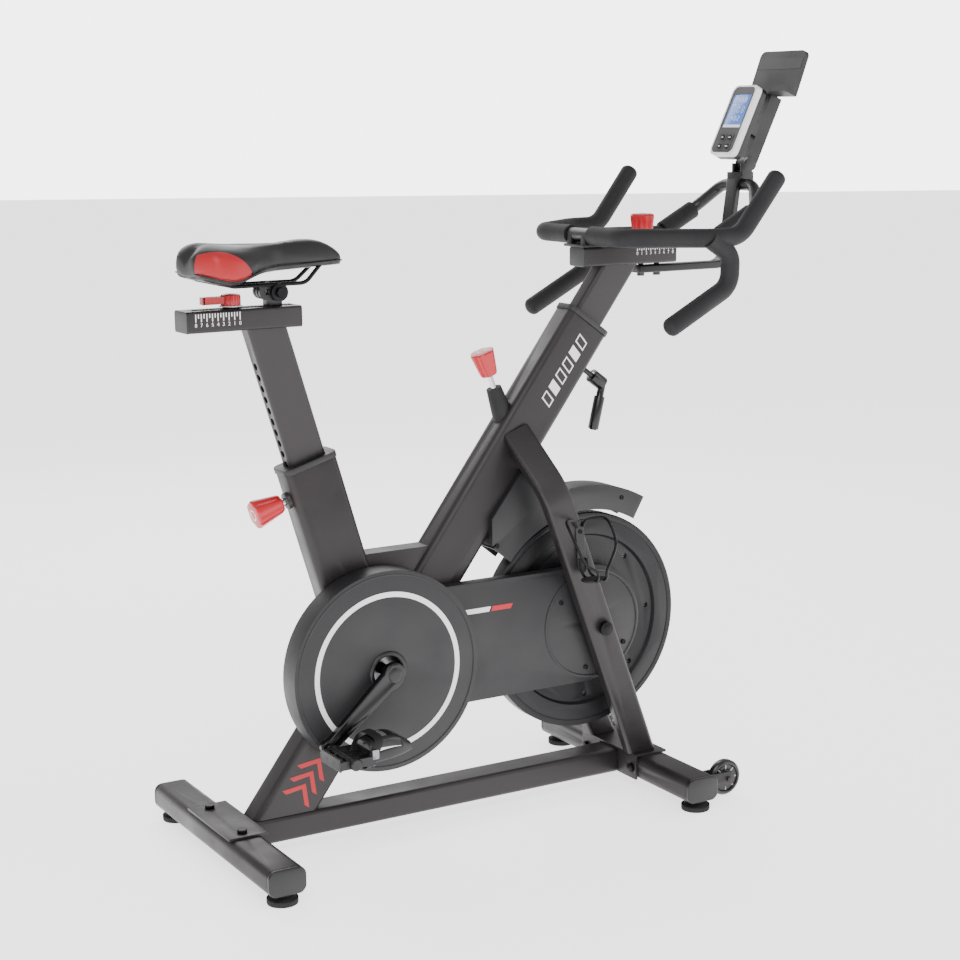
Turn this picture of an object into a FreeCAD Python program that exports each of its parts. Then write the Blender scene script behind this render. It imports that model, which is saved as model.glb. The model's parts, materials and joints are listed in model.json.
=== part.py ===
import FreeCAD, Part
import math
import os
import Sketcher
from FreeCAD import Placement, Rotation, Vector

# Indoor spin bike, millimetres. +X forward, +Y to the rider's left, +Z up, floor at Z = 0.
# Everything is laid out from the crank axis (X = 0) and moved to the middle of the footprint at the end.

doc = FreeCAD.newDocument("SpinBike")
sheet = doc.addObject("Spreadsheet::Sheet", "Sizes")


class Size:
    """A number that also knows the spreadsheet expression it came from."""

    def __init__(self, value, text):
        self.value = float(value)
        self.text = text

    def __float__(self):
        return self.value

    def join(self, other, sign, value):
        return Size(value, "(%s %s %s)" % (self.text, sign, textOf(other)))

    def __add__(self, other):
        return self.join(other, "+", self.value + float(other))

    def __sub__(self, other):
        return self.join(other, "-", self.value - float(other))

    def __mul__(self, other):
        return self.join(other, "*", self.value * float(other))

    def __truediv__(self, other):
        return self.join(other, "/", self.value / float(other))

    def __neg__(self):
        return Size(-self.value, "(0 - %s)" % self.text)

    def __radd__(self, other):
        return Size(float(other), textOf(other)) + self

    def __rsub__(self, other):
        return Size(float(other), textOf(other)) - self

    def __rmul__(self, other):
        return Size(float(other), textOf(other)) * self


def textOf(amount):
    return amount.text if isinstance(amount, Size) else "(%.6f)" % float(amount)


class Dims:
    """Driving dimensions, one spreadsheet row each."""

    count = 0

    def add(self, **values):
        for alias, value in values.items():
            Dims.count += 1
            sheet.set("A%d" % Dims.count, alias)
            sheet.set("B%d" % Dims.count, str(value))
            sheet.setAlias("B%d" % Dims.count, alias)
            setattr(self, alias, Size(value, "Sizes." + alias))


d = Dims()
d.add(fitGap=0.3, turnGap=0.06)
d.add(footHeight=19.3, footRadius=26, studRadius=6, studRise=16, footSpacing=460)
d.add(stabLength=508, stabDepth=68, stabHeight=46.3, stabCorner=15, stabWall=2.5, capThick=8)
d.add(rearStabX=-280, frontStabX=558, beamWidth=60, beamCorner=8, beamWall=3)
d.add(plateThick=4.4, plateHalf=92, plateDepth=72, boltSpacing=142, boltRadius=5, boltHead=8.5, boltRise=6)
d.add(flangeBolt=78, forkTopX=300, forkTopZ=700, forkShoulderX=330, forkShoulderZ=600, forkShoulderY=104)
d.add(forkTopY=20, forkFootY=66)
d.add(wheelRadius=34, wheelWidth=18, wheelX=643, wheelZ=38, wheelY=203, wheelAxle=5, earThick=4, earReach=14)
d.add(crankZ=313.5, tubeDepth=100, tubeWidth=56, tubeCorner=12, tubeWall=2.5)
d.add(seatLean=16.5, seatTubeLength=382, mainLean=36.4, mainOffset=32, mainTubeLength=715, mainDepth=96)
d.add(rearLean=36.8, rearFootX=-176)
d.add(shellRadius=30, shellHalf=34, bearingBore=10, bearingRadius=20, bearingWidth=13)
d.add(gussetTop=512, gussetWidth=40)
d.add(collarRise=10, collarLip=4, collarDepth=50)
d.add(legDepth=54, legWidth=30, legCorner=7, legBend=80)
d.add(flyX=441, flyZ=333, flyRadius=205, flyFace=-30, flyThick=32, rimInner=160, webThick=18)
d.add(hubRadius=32, hubHalf=38, flyAxle=7.5, flyBearing=17.5, flyBearingWidth=11, axleHalf=104.5)
d.add(flyHoleCircle=147, flyHole=5)
d.add(crankPulley=99, flyPulley=30, beltWidth=12, beltThick=3, beltY=-48)
d.add(guardRadius=180, guardFace=-84, guardInner=-36, guardWall=2.5, guardStep=24.5, crankHole=30)
d.add(hubCapRadius=110, hubCapTop=96, hubCapFace=-61, hubCapEdge=-53)
d.add(leftGuardRadius=112, leftGuardFace=52, leftGuardInner=36)
d.add(crankAxle=9.94, crankLength=170, crankAngle=221, armThick=14, armInner=96, armBoss=21, armTip=15)
d.add(pedalWidth=98, pedalDepth=92, pedalThick=24, pedalGap=6, pedalPin=6)
d.add(coverOuter=258, coverInner=212, coverWall=2.5, coverNear=-42, coverFar=14)
d.add(coverStart=60, coverSweep=81)
d.add(bracketInner=214, bracketThick=8, magnetThick=5, magnetLength=30, magnetWidth=24)
d.add(stemX=267, stemZ=786, stemLean=19.9, stemRadius=5, stemReach=243, knobLow=21, knobHigh=68)
d.add(knobNarrow=17, knobWide=23.5, bootNarrow=14, bootWide=21, bootReach=76)
d.add(postDepth=70, postWidth=38, postCorner=8, postWall=3, postDepthIn=150, pinSpot=334.7, pinPitch=20)
d.add(pinRadius=6, pinKnobNarrow=18, pinKnobWide=26, pinKnobStart=65, pinKnobEnd=114, pinBoss=15,
      pinTravelIn=9)
d.add(railBack=-324, railFront=-123, railWidth=54.7, railLow=920, railHigh=956, railWall=3, railSlot=17)
d.add(sliderBack=-262, sliderFront=-146, neckBack=-174, neckFront=-150, saddlePivotX=-161, saddlePivotZ=980)
d.add(pivotPin=6, leverX=-238, leverStud=5, leverHeight=21)
d.add(saddleBack=-320, saddleNose=-34, saddleHalf=82, saddleNoseHalf=27, saddleLow=1003, saddleHigh=1068)
d.add(saddleRod=3.5, saddleRodY=22, saddleRodRise=13, railNoseRise=22, railNoseBack=42)
d.add(barPostDepth=65, barPostWidth=38, barPostIn=130)
d.add(sleeveBack=451, sleeveFront=654, sleeveWidth=50, sleeveLow=992, sleeveHigh=1027, sleeveWall=3)
d.add(carriageBack=466, carriageFront=640, barX=459, barZ=1049, barRadius=12.7, foamRadius=17, barBend=45)
d.add(barSide=231, hoopRadius=11, hoopFoam=17, hoopHalf=91, neckLength=20, neckWidth=15, barTravel=80)
d.add(topPlateLength=49, topPlateWidth=64)
d.add(topKnobX=593, topKnobStud=5, topKnobLow=1036, topKnobHigh=1083, topKnobNarrow=20, topKnobWide=23.5)
d.add(mastWidth=30, mastDepth=14, mastBend=30)
d.add(clampX=470, clampZ=796, clampReach=42, clampStud=5)
d.add(consoleX=772, consoleZ=1188, consoleLean=25.8, consoleHigh=142, consoleHalf=36, consoleDeep=24)
d.add(consoleCorner=10, hingeX=833, hingeZ=1169, lugRadius=13, hingePin=5)
d.add(trayX=889, trayZ=1297, trayLean=21, trayHigh=89, trayHalf=67, trayThick=10, trayLip=22)
d.add(buttonRadius=5, buttonSpacing=22)
doc.recompute()

subParts = []


def bind(part, **amounts):
    for name, amount in amounts.items():
        if isinstance(amount, Size):
            part.setExpression(name, amount.text)
        else:
            setattr(part, name, float(amount))


def sine(angle):
    return math.sin(math.radians(float(angle)))


def cosine(angle):
    return math.cos(math.radians(float(angle)))


def tilted(x, z, lean, y=0):
    # local Z leans forward by this angle, local Y stays across the bike
    return Placement(Vector(float(x), float(y), float(z)), Rotation(Vector(0, 1, 0), float(lean)))


upright = Placement()
alongX = Rotation(Vector(0, 1, 0), 90)
alongY = Rotation(Vector(1, 0, 0), -90)


def box(name, xs, ys, zs, frame=upright):
    part = doc.addObject("Part::Box", name)
    bind(part, Length=xs[1] - xs[0], Width=ys[1] - ys[0], Height=zs[1] - zs[0])
    part.Placement = frame * Placement(Vector(float(xs[0]), float(ys[0]), float(zs[0])), Rotation())
    return part


def rod(name, start, turn, radius, length, frame=upright):
    part = doc.addObject("Part::Cylinder", name)
    bind(part, Radius=radius, Height=length)
    part.Placement = frame * Placement(Vector(*[float(c) for c in start]), turn)
    return part


def acrossRod(name, x, z, ys, radius, frame=upright):
    return rod(name, (x, ys[0], z), alongY, radius, ys[1] - ys[0], frame)


def taper(name, start, turn, low, high, length, frame=upright):
    part = doc.addObject("Part::Cone", name)
    bind(part, Radius1=low, Radius2=high, Height=length)
    part.Placement = frame * Placement(Vector(*[float(c) for c in start]), turn)
    return part


def joined(name, *parts):
    part = doc.addObject("Part::MultiFuse", name)
    part.Shapes = list(parts)
    return part


def without(name, base, *tools):
    # one Part::Cut per tool, the last one carries the name
    for number, tool in enumerate(tools):
        part = doc.addObject("Part::Cut", name if number == len(tools) - 1 else name + "_cut")
        part.Base = base
        part.Tool = tool
        base = part
    return base


def grouped(name, *parts):
    part = doc.addObject("Part::Compound", name)
    part.Links = list(parts)
    return part


def keep(part, name):
    part.Label = name
    subParts.append(part)
    return part


def originPlane(body, role):
    return [feature for feature in body.Origin.OriginFeatures if feature.Role == role][0]


def sketchOn(body, name, role, loops, lift=0):
    sketch = body.newObject("Sketcher::SketchObject", name)
    sketch.AttachmentSupport = [(originPlane(body, role), "")]
    sketch.MapMode = "FlatFace"
    sketch.AttachmentOffset = Placement(Vector(0, 0, float(lift)), Rotation())
    for points in loops:
        first = sketch.GeometryCount
        count = len(points)
        for i in range(count):
            a = points[i]
            b = points[(i + 1) % count]
            line = Part.LineSegment(Vector(float(a[0]), float(a[1]), 0), Vector(float(b[0]), float(b[1]), 0))
            sketch.addGeometry(line)
        for i in range(count):
            following = first + (i + 1) % count
            sketch.addConstraint(Sketcher.Constraint("Coincident", first + i, 2, following, 1))
            for kind, amount in (("DistanceX", points[i][0]), ("DistanceY", points[i][1])):
                index = sketch.addConstraint(Sketcher.Constraint(kind, -1, 1, first + i, 1, float(amount)))
                if isinstance(amount, Size):
                    sketch.setExpression("Constraints[%d]" % index, amount.text)
    return sketch


def lengthwise(shape, direction, wanted):
    # names of the straight edges along one direction whose middle passes the test
    names = []
    for number, edge in enumerate(shape.Edges):
        along = edge.tangentAt(edge.FirstParameter)
        if abs(along.dot(direction)) > 0.999 and wanted(edge.CenterOfMass):
            names.append("Edge%d" % (number + 1))
    return names


def bar(name, depth, width, corner, start, length, frame, wall=None):
    # a straight rounded rectangular tube along local Z, solid when no wall is given
    body = doc.addObject("PartDesign::Body", name)
    outside = [(-depth / 2, -width / 2), (depth / 2, -width / 2),
               (depth / 2, width / 2), (-depth / 2, width / 2)]
    pad = body.newObject("PartDesign::Pad", name + "_pad")
    pad.Profile = sketchOn(body, name + "_section", "XY_Plane", [outside], start)
    bind(pad, Length=length)
    doc.recompute()
    last = pad
    if wall is not None:
        deep = depth / 2 - wall
        wide = width / 2 - wall
        inside = [(-deep, -wide), (deep, -wide), (deep, wide), (-deep, wide)]
        hollow = body.newObject("PartDesign::Pocket", name + "_hollow")
        hollow.Profile = sketchOn(body, name + "_bore", "XY_Plane", [inside], start)
        hollow.Type = "ThroughAll"
        hollow.Reversed = True
        doc.recompute()
        rounding = body.newObject("PartDesign::Fillet", name + "_inside")
        limit = float(depth / 2) - float(wall) / 2
        rounding.Base = (hollow, lengthwise(hollow.Shape, Vector(0, 0, 1), lambda c: abs(c.x) < limit))
        bind(rounding, Radius=corner - wall)
        doc.recompute()
        last = rounding
    edges = lengthwise(last.Shape, Vector(0, 0, 1), lambda c: abs(c.x) > float(depth) / 2 - 0.01)
    outer = body.newObject("PartDesign::Fillet", name + "_round")
    outer.Base = (last, edges)
    bind(outer, Radius=corner)
    body.Placement = frame
    doc.recompute()
    return body


def slab(name, points, ys, frame=upright, rounds=None, radius=None):
    # an outline in the bike's side view, given thickness between two Y values
    body = doc.addObject("PartDesign::Body", name)
    pad = body.newObject("PartDesign::Pad", name + "_pad")
    pad.Profile = sketchOn(body, name + "_outline", "XZ_Plane", [points], -ys[1])
    bind(pad, Length=ys[1] - ys[0])
    doc.recompute()
    if rounds:
        spots = [Vector(float(points[i][0]), 0, float(points[i][1])) for i in rounds]
        near = lambda c: any(Vector(c.x, 0, c.z).distanceToPoint(spot) < 0.01 for spot in spots)
        rounding = body.newObject("PartDesign::Fillet", name + "_round")
        rounding.Base = (pad, lengthwise(pad.Shape, Vector(0, 1, 0), near))
        bind(rounding, Radius=radius)
    body.Placement = frame
    doc.recompute()
    return body


def turned(name, profile, frame):
    # profile points are (radius, distance along the axis); the axis is local Z
    body = doc.addObject("PartDesign::Body", name)
    revolution = body.newObject("PartDesign::Revolution", name + "_turn")
    profileSketch = sketchOn(body, name + "_profile", "XZ_Plane", [profile])
    revolution.Profile = profileSketch
    revolution.ReferenceAxis = (profileSketch, ["V_Axis"])
    revolution.Angle = 360
    body.Placement = frame
    doc.recompute()
    return body


def acrossAt(x, z, y=0):
    return Placement(Vector(float(x), float(y), float(z)), alongY)


def bentPath(points, bends):
    # straight runs joined by tangent arcs; bends holds one radius per inner point
    points = [Vector(*[float(c) for c in point]) for point in points]
    edges = []
    here = points[0]
    for i in range(1, len(points) - 1):
        back = (points[i - 1] - points[i]).normalize()
        ahead = (points[i + 1] - points[i]).normalize()
        half = back.getAngle(ahead) / 2
        radius = float(bends[i - 1])
        reach = radius / math.tan(half)
        begin = points[i] + back * reach
        finish = points[i] + ahead * reach
        inward = (back + ahead).normalize()
        middle = points[i] + inward * (radius / math.sin(half) - radius)
        if here.distanceToPoint(begin) > 0.01:
            edges.append(Part.LineSegment(here, begin).toShape())
        edges.append(Part.Arc(begin, middle, finish).toShape())
        here = finish
    edges.append(Part.LineSegment(here, points[-1]).toShape())
    return Part.Wire(edges)


def pipe(path, radius):
    start = path.OrderedVertexes[0].Point
    along = path.OrderedEdges[0].tangentAt(path.OrderedEdges[0].FirstParameter)
    ring = Part.Wire([Part.Circle(start, along, float(radius)).toShape()])
    return path.makePipeShell([ring], True, False)


def roundedWire(centre, across, up, wide, high, corner):
    corners = []
    for sx, sy in ((1, 1), (-1, 1), (-1, -1), (1, -1)):
        mid = centre + across * (sx * (wide / 2 - corner)) + up * (sy * (high / 2 - corner))
        side = mid + across * (sx * corner)
        cap = mid + up * (sy * corner)
        diagonal = mid + (across * sx + up * sy).normalize() * corner
        corners.append((side, diagonal, cap) if sx * sy > 0 else (cap, diagonal, side))
    edges = []
    for i, (begin, middle, finish) in enumerate(corners):
        edges.append(Part.Arc(begin, middle, finish).toShape())
        edges.append(Part.LineSegment(finish, corners[(i + 1) % 4][0]).toShape())
    return Part.Wire(edges)


def made(name, shape):
    part = doc.addObject("Part::Feature", name)
    part.Shape = shape
    return part


# ---- base: two cross stabilisers, the beam between them, plates, bolts and end caps ----

stabLow = d.footHeight
stabHigh = d.footHeight + d.stabHeight
stabMid = d.footHeight + d.stabHeight / 2
tubeHalf = d.stabLength / 2 - d.capThick


def stabiliserTube(name, x):
    place = Placement(Vector(float(x), 0, float(stabMid)), alongY)
    return bar(name, d.stabDepth, d.stabHeight, d.stabCorner, -tubeHalf, tubeHalf * 2, place, d.stabWall)


def studHoles(name, x):
    holes = []
    for side in (-1, 1):
        place = (x, d.footSpacing / 2 * side, 0)
        holes.append(rod(name + "_hole", place, Rotation(), d.studRadius + d.turnGap, stabMid))
    return holes


def plateBoltHoles(name, x):
    holes = []
    for side in (-1, 1):
        place = (x, d.boltSpacing / 2 * side, stabMid)
        holes.append(rod(name + "_bolt_hole", place, Rotation(), d.boltRadius, 40))
    return holes


rearTube = stabiliserTube("rear_tube", d.rearStabX)
rearHoles = studHoles("rear", d.rearStabX) + plateBoltHoles("rear", d.rearStabX)
keep(without("rear_stabiliser", rearTube, *rearHoles), "rear_stabiliser")

forks = []
stabFront = d.frontStabX + d.stabDepth / 2
earGap = d.wheelWidth / 2 + 2
for side in (-1, 1):
    for inner in (-1, 1):
        face = d.wheelY * side + earGap * inner
        ys = (face, face + d.earThick) if inner > 0 else (face - d.earThick, face)
        forks.append(box("ear", (stabFront, d.wheelX), ys, (d.wheelZ - d.earReach, d.wheelZ + d.earReach)))
        forks.append(acrossRod("ear_end", d.wheelX, d.wheelZ, ys, d.earReach))
    backYs = (d.wheelY * side - earGap, d.wheelY * side + earGap)
    forks.append(box("ear_back", (stabFront, stabFront + d.earThick), backYs,
                     (d.wheelZ - d.earReach, d.wheelZ + d.earReach)))
    pinYs = (d.wheelY * side - earGap - d.earThick - 5, d.wheelY * side + earGap + d.earThick + 5)
    forks.append(acrossRod("wheel_pin", d.wheelX, d.wheelZ, pinYs, d.wheelAxle))
frontTube = stabiliserTube("front_tube", d.frontStabX)
flangeHoles = []
for side in (-1, 1):
    flangeHoles.append(rod("flange_hole", (d.frontStabX - d.stabDepth / 2 - 20, side * d.flangeBolt,
                                           stabMid), alongX,
                           d.boltRadius, 40))
frontCut = without("front_cut", frontTube, *studHoles("front", d.frontStabX), *flangeHoles)
keep(joined("front_stabiliser", frontCut, *forks), "front_stabiliser")

caps = []
for x in (d.rearStabX, d.frontStabX):
    for side in (-1, 1):
        start = tubeHalf if side > 0 else -(tubeHalf + d.capThick)
        place = Placement(Vector(float(x), 0, float(stabMid)), alongY)
        caps.append(bar("end_cap", d.stabDepth, d.stabHeight, d.stabCorner, start, d.capThick, place))
keep(grouped("stabiliser_end_caps", *caps), "stabiliser_end_caps")

beamBack = d.rearStabX + d.stabDepth / 2
beamFront = d.frontStabX - d.stabDepth / 2
beamPlace = Placement(Vector(float(beamBack), 0, float(stabMid)), alongX)
beam = bar("base_beam", d.stabHeight, d.beamWidth, d.beamCorner, 0, beamFront - beamBack, beamPlace,
           d.beamWall)
keep(beam, "base_beam")

plateLow = stabHigh
plateHigh = stabHigh + d.plateThick
rearPlateFront = d.rearStabX + d.plateDepth / 2 + 3
rearPlate = box("rear_plate", (rearPlateFront - d.plateDepth, rearPlateFront), (-d.plateHalf, d.plateHalf),
                (plateLow, plateHigh))
rearPlate = without("rear_plate_drilled", rearPlate, *plateBoltHoles("plate", d.rearStabX))
flangeX = beamFront - d.plateThick
frontTop = box("front_plate", (flangeX, flangeX + d.plateDepth - 2), (-d.plateHalf, d.plateHalf),
               (plateLow, plateHigh))
flanges = []
for side in (-1, 1):
    ys = (d.beamWidth / 2 + 1, d.plateHalf) if side > 0 else (-d.plateHalf, -(d.beamWidth / 2 + 1))
    flanges.append(box("flange", (flangeX, beamFront), ys, (stabLow + 2, plateLow)))
frontBracket = without("front_bracket", joined("front_wrap", frontTop, *flanges), *flangeHoles)
keep(grouped("mount_plates", rearPlate, frontBracket), "mount_plates")

bolts = []
for side in (-1, 1):
    spot = (d.rearStabX, d.boltSpacing / 2 * side, plateHigh)
    head = rod("bolt_head", spot, Rotation(), d.boltHead, d.boltRise)
    shank = rod("bolt_shank", (spot[0], spot[1], plateHigh - 14), Rotation(), d.boltRadius, 14)
    bolts.append(joined("rear_bolt", head, shank))
    spot = (flangeX - d.boltRise, side * d.flangeBolt, stabMid)
    head = rod("bolt_head", spot, alongX, d.boltHead, d.boltRise)
    shank = rod("bolt_shank", (flangeX, side * d.flangeBolt, stabMid), alongX, d.boltRadius, 14)
    bolts.append(joined("front_bolt", head, shank))
keep(grouped("base_bolts", *bolts), "base_bolts")

for endName, x in (("rear", d.rearStabX), ("front", d.frontStabX)):
    for side, sideName in ((-1, "right"), (1, "left")):
        profile = [(0, 0), (d.footRadius, 0), (d.footRadius, 8), (d.footRadius * 0.55, d.footHeight - 5.3),
                   (d.footRadius * 0.55, d.footHeight - 0.3), (d.studRadius, d.footHeight - 0.3),
                   (d.studRadius, d.footHeight + d.studRise), (0, d.footHeight + d.studRise)]
        place = Placement(Vector(float(x), float(d.footSpacing) / 2 * side, 0), Rotation())
        foot = turned("foot", profile, place)
        keep(foot, "%s_foot_%s" % (endName, sideName))

for side, sideName in ((-1, "right"), (1, "left")):
    half = d.wheelWidth / 2
    bore = d.wheelAxle + d.turnGap
    profile = [(bore, -half), (d.wheelRadius * 0.45, -half), (d.wheelRadius * 0.5, -half + 4),
               (d.wheelRadius * 0.72, -half + 4), (d.wheelRadius * 0.78, -half), (d.wheelRadius - 4, -half),
               (d.wheelRadius, -half + 4), (d.wheelRadius, half - 4), (d.wheelRadius - 4, half),
               (d.wheelRadius * 0.78, half), (d.wheelRadius * 0.72, half - 4), (d.wheelRadius * 0.5,
                                                                                half - 4),
               (d.wheelRadius * 0.45, half), (bore, half)]
    wheel = turned("wheel", profile, acrossAt(d.wheelX, d.wheelZ, d.wheelY * side))
    keep(wheel, "transport_wheel_%s" % sideName)

# ---- frame: seat tube, main tube and rear post meet at the crank shell ----

seatFrame = tilted(0, d.crankZ, -float(d.seatLean))
mainFrame = tilted(d.mainOffset, d.crankZ, d.mainLean)
rearPostZ = stabHigh
rearRun = (d.crankZ - rearPostZ) / cosine(d.rearLean)
rearFrame = tilted(d.rearFootX, rearPostZ, d.rearLean)
stemFrame = tilted(d.stemX, d.stemZ, -float(d.stemLean))

shellSolid = acrossRod("shell_solid", 0, d.crankZ, (-d.shellHalf, d.shellHalf), d.shellRadius)
seatSolid = bar("seat_solid", d.tubeDepth, d.tubeWidth, d.tubeCorner, 0, d.seatTubeLength, seatFrame)
rearSolid = bar("rear_solid", d.tubeDepth, d.tubeWidth, d.tubeCorner, -80, rearRun + 80, rearFrame)
mainSolid = bar("main_solid", d.mainDepth, d.tubeWidth, d.tubeCorner, -20, d.mainTubeLength + 20, mainFrame)
seatHollow = bar("seat_hollow", d.tubeDepth, d.tubeWidth, d.tubeCorner, 0, d.seatTubeLength, seatFrame,
                 d.tubeWall)
rearHollow = bar("rear_hollow", d.tubeDepth, d.tubeWidth, d.tubeCorner, -80, rearRun + 80, rearFrame,
                 d.tubeWall)
mainHollow = bar("main_hollow", d.mainDepth, d.tubeWidth, d.tubeCorner, -20, d.mainTubeLength + 20,
                 mainFrame,
                 d.tubeWall)
baseCut = box("base_cut", (d.rearFootX - 250, d.rearFootX + 250), (-60, 60), (rearPostZ - 120, rearPostZ))

stemWay = rod("stem_way", (0, 0, -float(d.stemReach)), Rotation(), d.stemRadius + 2, d.stemReach + 20,
              stemFrame)
pinWay = rod("pin_way", (-float(d.tubeDepth) / 2 - 30, 0, d.pinSpot), alongX, d.pinRadius + d.fitGap, 60,
             seatFrame)
pinBoss = rod("pin_boss", (d.pinTravelIn - d.pinKnobStart, 0, d.pinSpot), alongX, d.pinBoss,
              d.pinKnobStart - d.pinTravelIn - d.tubeDepth / 2, seatFrame)
clampFrame = tilted(d.clampX, d.clampZ, d.mainLean + 90)
clampWay = rod("clamp_way", (0, 0, -30), Rotation(), d.clampStud + d.turnGap, 60, clampFrame)

keep(without("seat_tube", joined("seat_tube_boss", seatHollow, pinBoss), shellSolid, pinWay), "seat_tube")
keep(without("rear_post", rearHollow, seatSolid, shellSolid, baseCut), "rear_post")
keep(without("main_tube", mainHollow, seatSolid, rearSolid, shellSolid, stemWay, clampWay), "main_tube")

gussetOutline = [(-40, d.gussetTop), (170, d.gussetTop), (60, d.crankZ + 10), (0, d.crankZ + 10)]
gusset = slab("gusset", gussetOutline, (-d.gussetWidth / 2, d.gussetWidth / 2))
gussetTrimmed = without("gusset_trimmed", gusset, seatSolid, mainSolid, rearSolid, shellSolid)
shellBore = acrossRod("shell_bore", 0, d.crankZ, (-d.shellHalf - 5, d.shellHalf + 5), d.bearingRadius)
shell = without("shell", shellSolid, shellBore)
keep(grouped("bottom_bracket", shell, gussetTrimmed), "bottom_bracket")


def collar(name, depth, width, end, postDepth, postWidth, frame):
    # a plastic sleeve inside the tube mouth with a lip on top, bored for the sliding post
    deep = depth - d.tubeWall * 2
    wide = width - d.tubeWall * 2
    plug = bar(name + "_plug", deep, wide, d.tubeCorner - d.tubeWall, end - d.collarDepth, d.collarDepth,
               frame)
    lip = bar(name + "_lip", depth + d.collarLip, width + d.collarLip, d.tubeCorner + d.collarLip / 2, end,
              d.collarRise, frame)
    boreDepth = postDepth + d.fitGap * 2
    boreWidth = postWidth + d.fitGap * 2
    bore = bar(name + "_bore", boreDepth, boreWidth, d.postCorner + d.fitGap, end - d.collarDepth - 5,
               d.collarDepth + d.collarRise + 10, frame)
    return without(name, joined(name + "_sleeve", plug, lip), bore)


seatCollar = collar("seat_collar", d.tubeDepth, d.tubeWidth, d.seatTubeLength, d.postDepth, d.postWidth,
                    seatFrame)
seatCollar = without("seat_collar_drilled", seatCollar, pinWay)
mainCollar = collar("main_collar", d.mainDepth, d.tubeWidth, d.mainTubeLength, d.barPostDepth,
                    d.barPostWidth,
                    mainFrame)
keep(grouped("tube_collars", seatCollar, mainCollar), "tube_collars")

# ---- fork legs: bent rectangular tubes from the main tube down to the front bracket ----

doc.recompute()


def forkLeg(side):
    top = Vector(float(d.forkTopX), side * float(d.forkTopY), float(d.forkTopZ))
    shoulder = Vector(float(d.forkShoulderX), side * float(d.forkShoulderY), float(d.forkShoulderZ))
    foot = Vector(float(d.frontStabX) - 2, side * float(d.forkFootY), float(plateHigh) - 30)
    path = bentPath([top, shoulder, foot], [d.legBend])
    along = (shoulder - top).normalize()
    normal = along.cross((foot - shoulder).normalize()).normalize()
    inPlane = normal.cross(along).normalize()
    section = roundedWire(top, normal, inPlane, float(d.legDepth), float(d.legWidth), float(d.legCorner))
    leg = path.makePipeShell([section], True, False)
    under = Part.makeBox(300, 400, 200, Vector(float(d.frontStabX) - 150, -200, float(plateHigh) - 200))
    axleHole = Part.makeCylinder(float(d.flyAxle), 260, Vector(float(d.flyX), -130, float(d.flyZ)), Vector(0,
                                                                                                           1,
                                                                                                           0))
    return leg.cut(mainSolid.Shape).cut(under).cut(axleHole)


for side, sideName in ((-1, "right"), (1, "left")):
    keep(made("fork_leg_" + sideName, forkLeg(side)), "fork_leg_" + sideName)

# ---- drive: crank, belt, flywheel and their bearings ----

rings = []
for side in (-1, 1):
    ys = (d.shellHalf - d.bearingWidth, d.shellHalf) if side > 0 else (-d.shellHalf,
                                                                       -(d.shellHalf - d.bearingWidth))
    ring = acrossRod("crank_bearing", 0, d.crankZ, ys, d.bearingRadius)
    bore = acrossRod("crank_bearing_bore", 0, d.crankZ, (ys[0] - 2, ys[1] + 2), d.bearingBore)
    rings.append(without("crank_bearing_ring", ring, bore))
    inner = d.hubHalf - 14
    ys = (inner, inner + d.flyBearingWidth) if side > 0 else (-(inner + d.flyBearingWidth), -inner)
    ring = acrossRod("fly_bearing", d.flyX, d.flyZ, ys, d.flyBearing)
    bore = acrossRod("fly_bearing_bore", d.flyX, d.flyZ, (ys[0] - 2, ys[1] + 2), d.flyAxle)
    rings.append(without("fly_bearing_ring", ring, bore))
keep(grouped("bearings", *rings), "bearings")

spindle = acrossRod("fly_spindle", d.flyX, d.flyZ, (-d.axleHalf - 8, d.axleHalf + 8), d.flyAxle)
nuts = [acrossRod("axle_nut", d.flyX, d.flyZ, ys, 13) for ys in
        ((d.axleHalf, d.axleHalf + 7), (-d.axleHalf - 7, -d.axleHalf))]
keep(joined("flywheel_axle", spindle, *nuts), "flywheel_axle")

face = d.flyFace
back = d.flyFace + d.flyThick
webFace = d.flyFace + (d.flyThick - d.webThick) / 2
webBack = webFace + d.webThick
bore = d.flyBearing + d.turnGap
groove = d.flyRadius - 13
flyProfile = [(bore, -d.hubHalf), (d.hubRadius, -d.hubHalf), (d.hubRadius, webFace), (d.rimInner, webFace),
              (d.rimInner + 4, face), (groove, face), (groove, face + 1.2), (groove + 2, face + 1.2),
              (groove + 2, face), (d.flyRadius - 2, face), (d.flyRadius, face + 2), (d.flyRadius, back - 2),
              (d.flyRadius - 2, back), (d.rimInner + 4, back), (d.rimInner, webBack), (d.hubRadius, webBack),
              (d.hubRadius, d.hubHalf), (bore, d.hubHalf)]
flywheel = turned("flywheel_disc", flyProfile, acrossAt(d.flyX, d.flyZ))
holes = []
for number in range(8):
    angle = 48 + number * 45
    x = d.flyX + d.flyHoleCircle * cosine(angle)
    z = d.flyZ + d.flyHoleCircle * sine(angle)
    holes.append(acrossRod("fly_hole", x, z, (face - 5, back + 5), d.flyHole))
keep(without("flywheel", flywheel, joined("fly_holes", *holes)), "flywheel")

beltHalf = d.beltWidth / 2 + 2
pulleyBack = -d.hubHalf
flyPulley = acrossRod("fly_pulley", d.flyX, d.flyZ, (d.beltY - beltHalf, pulleyBack), d.flyPulley)
flyPulleyBore = acrossRod("fly_pulley_bore", d.flyX, d.flyZ, (d.beltY - beltHalf - 2, pulleyBack + 2),
                          d.flyAxle + 2)
keep(without("flywheel_pulley", flyPulley, flyPulleyBore), "flywheel_pulley")

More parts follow.
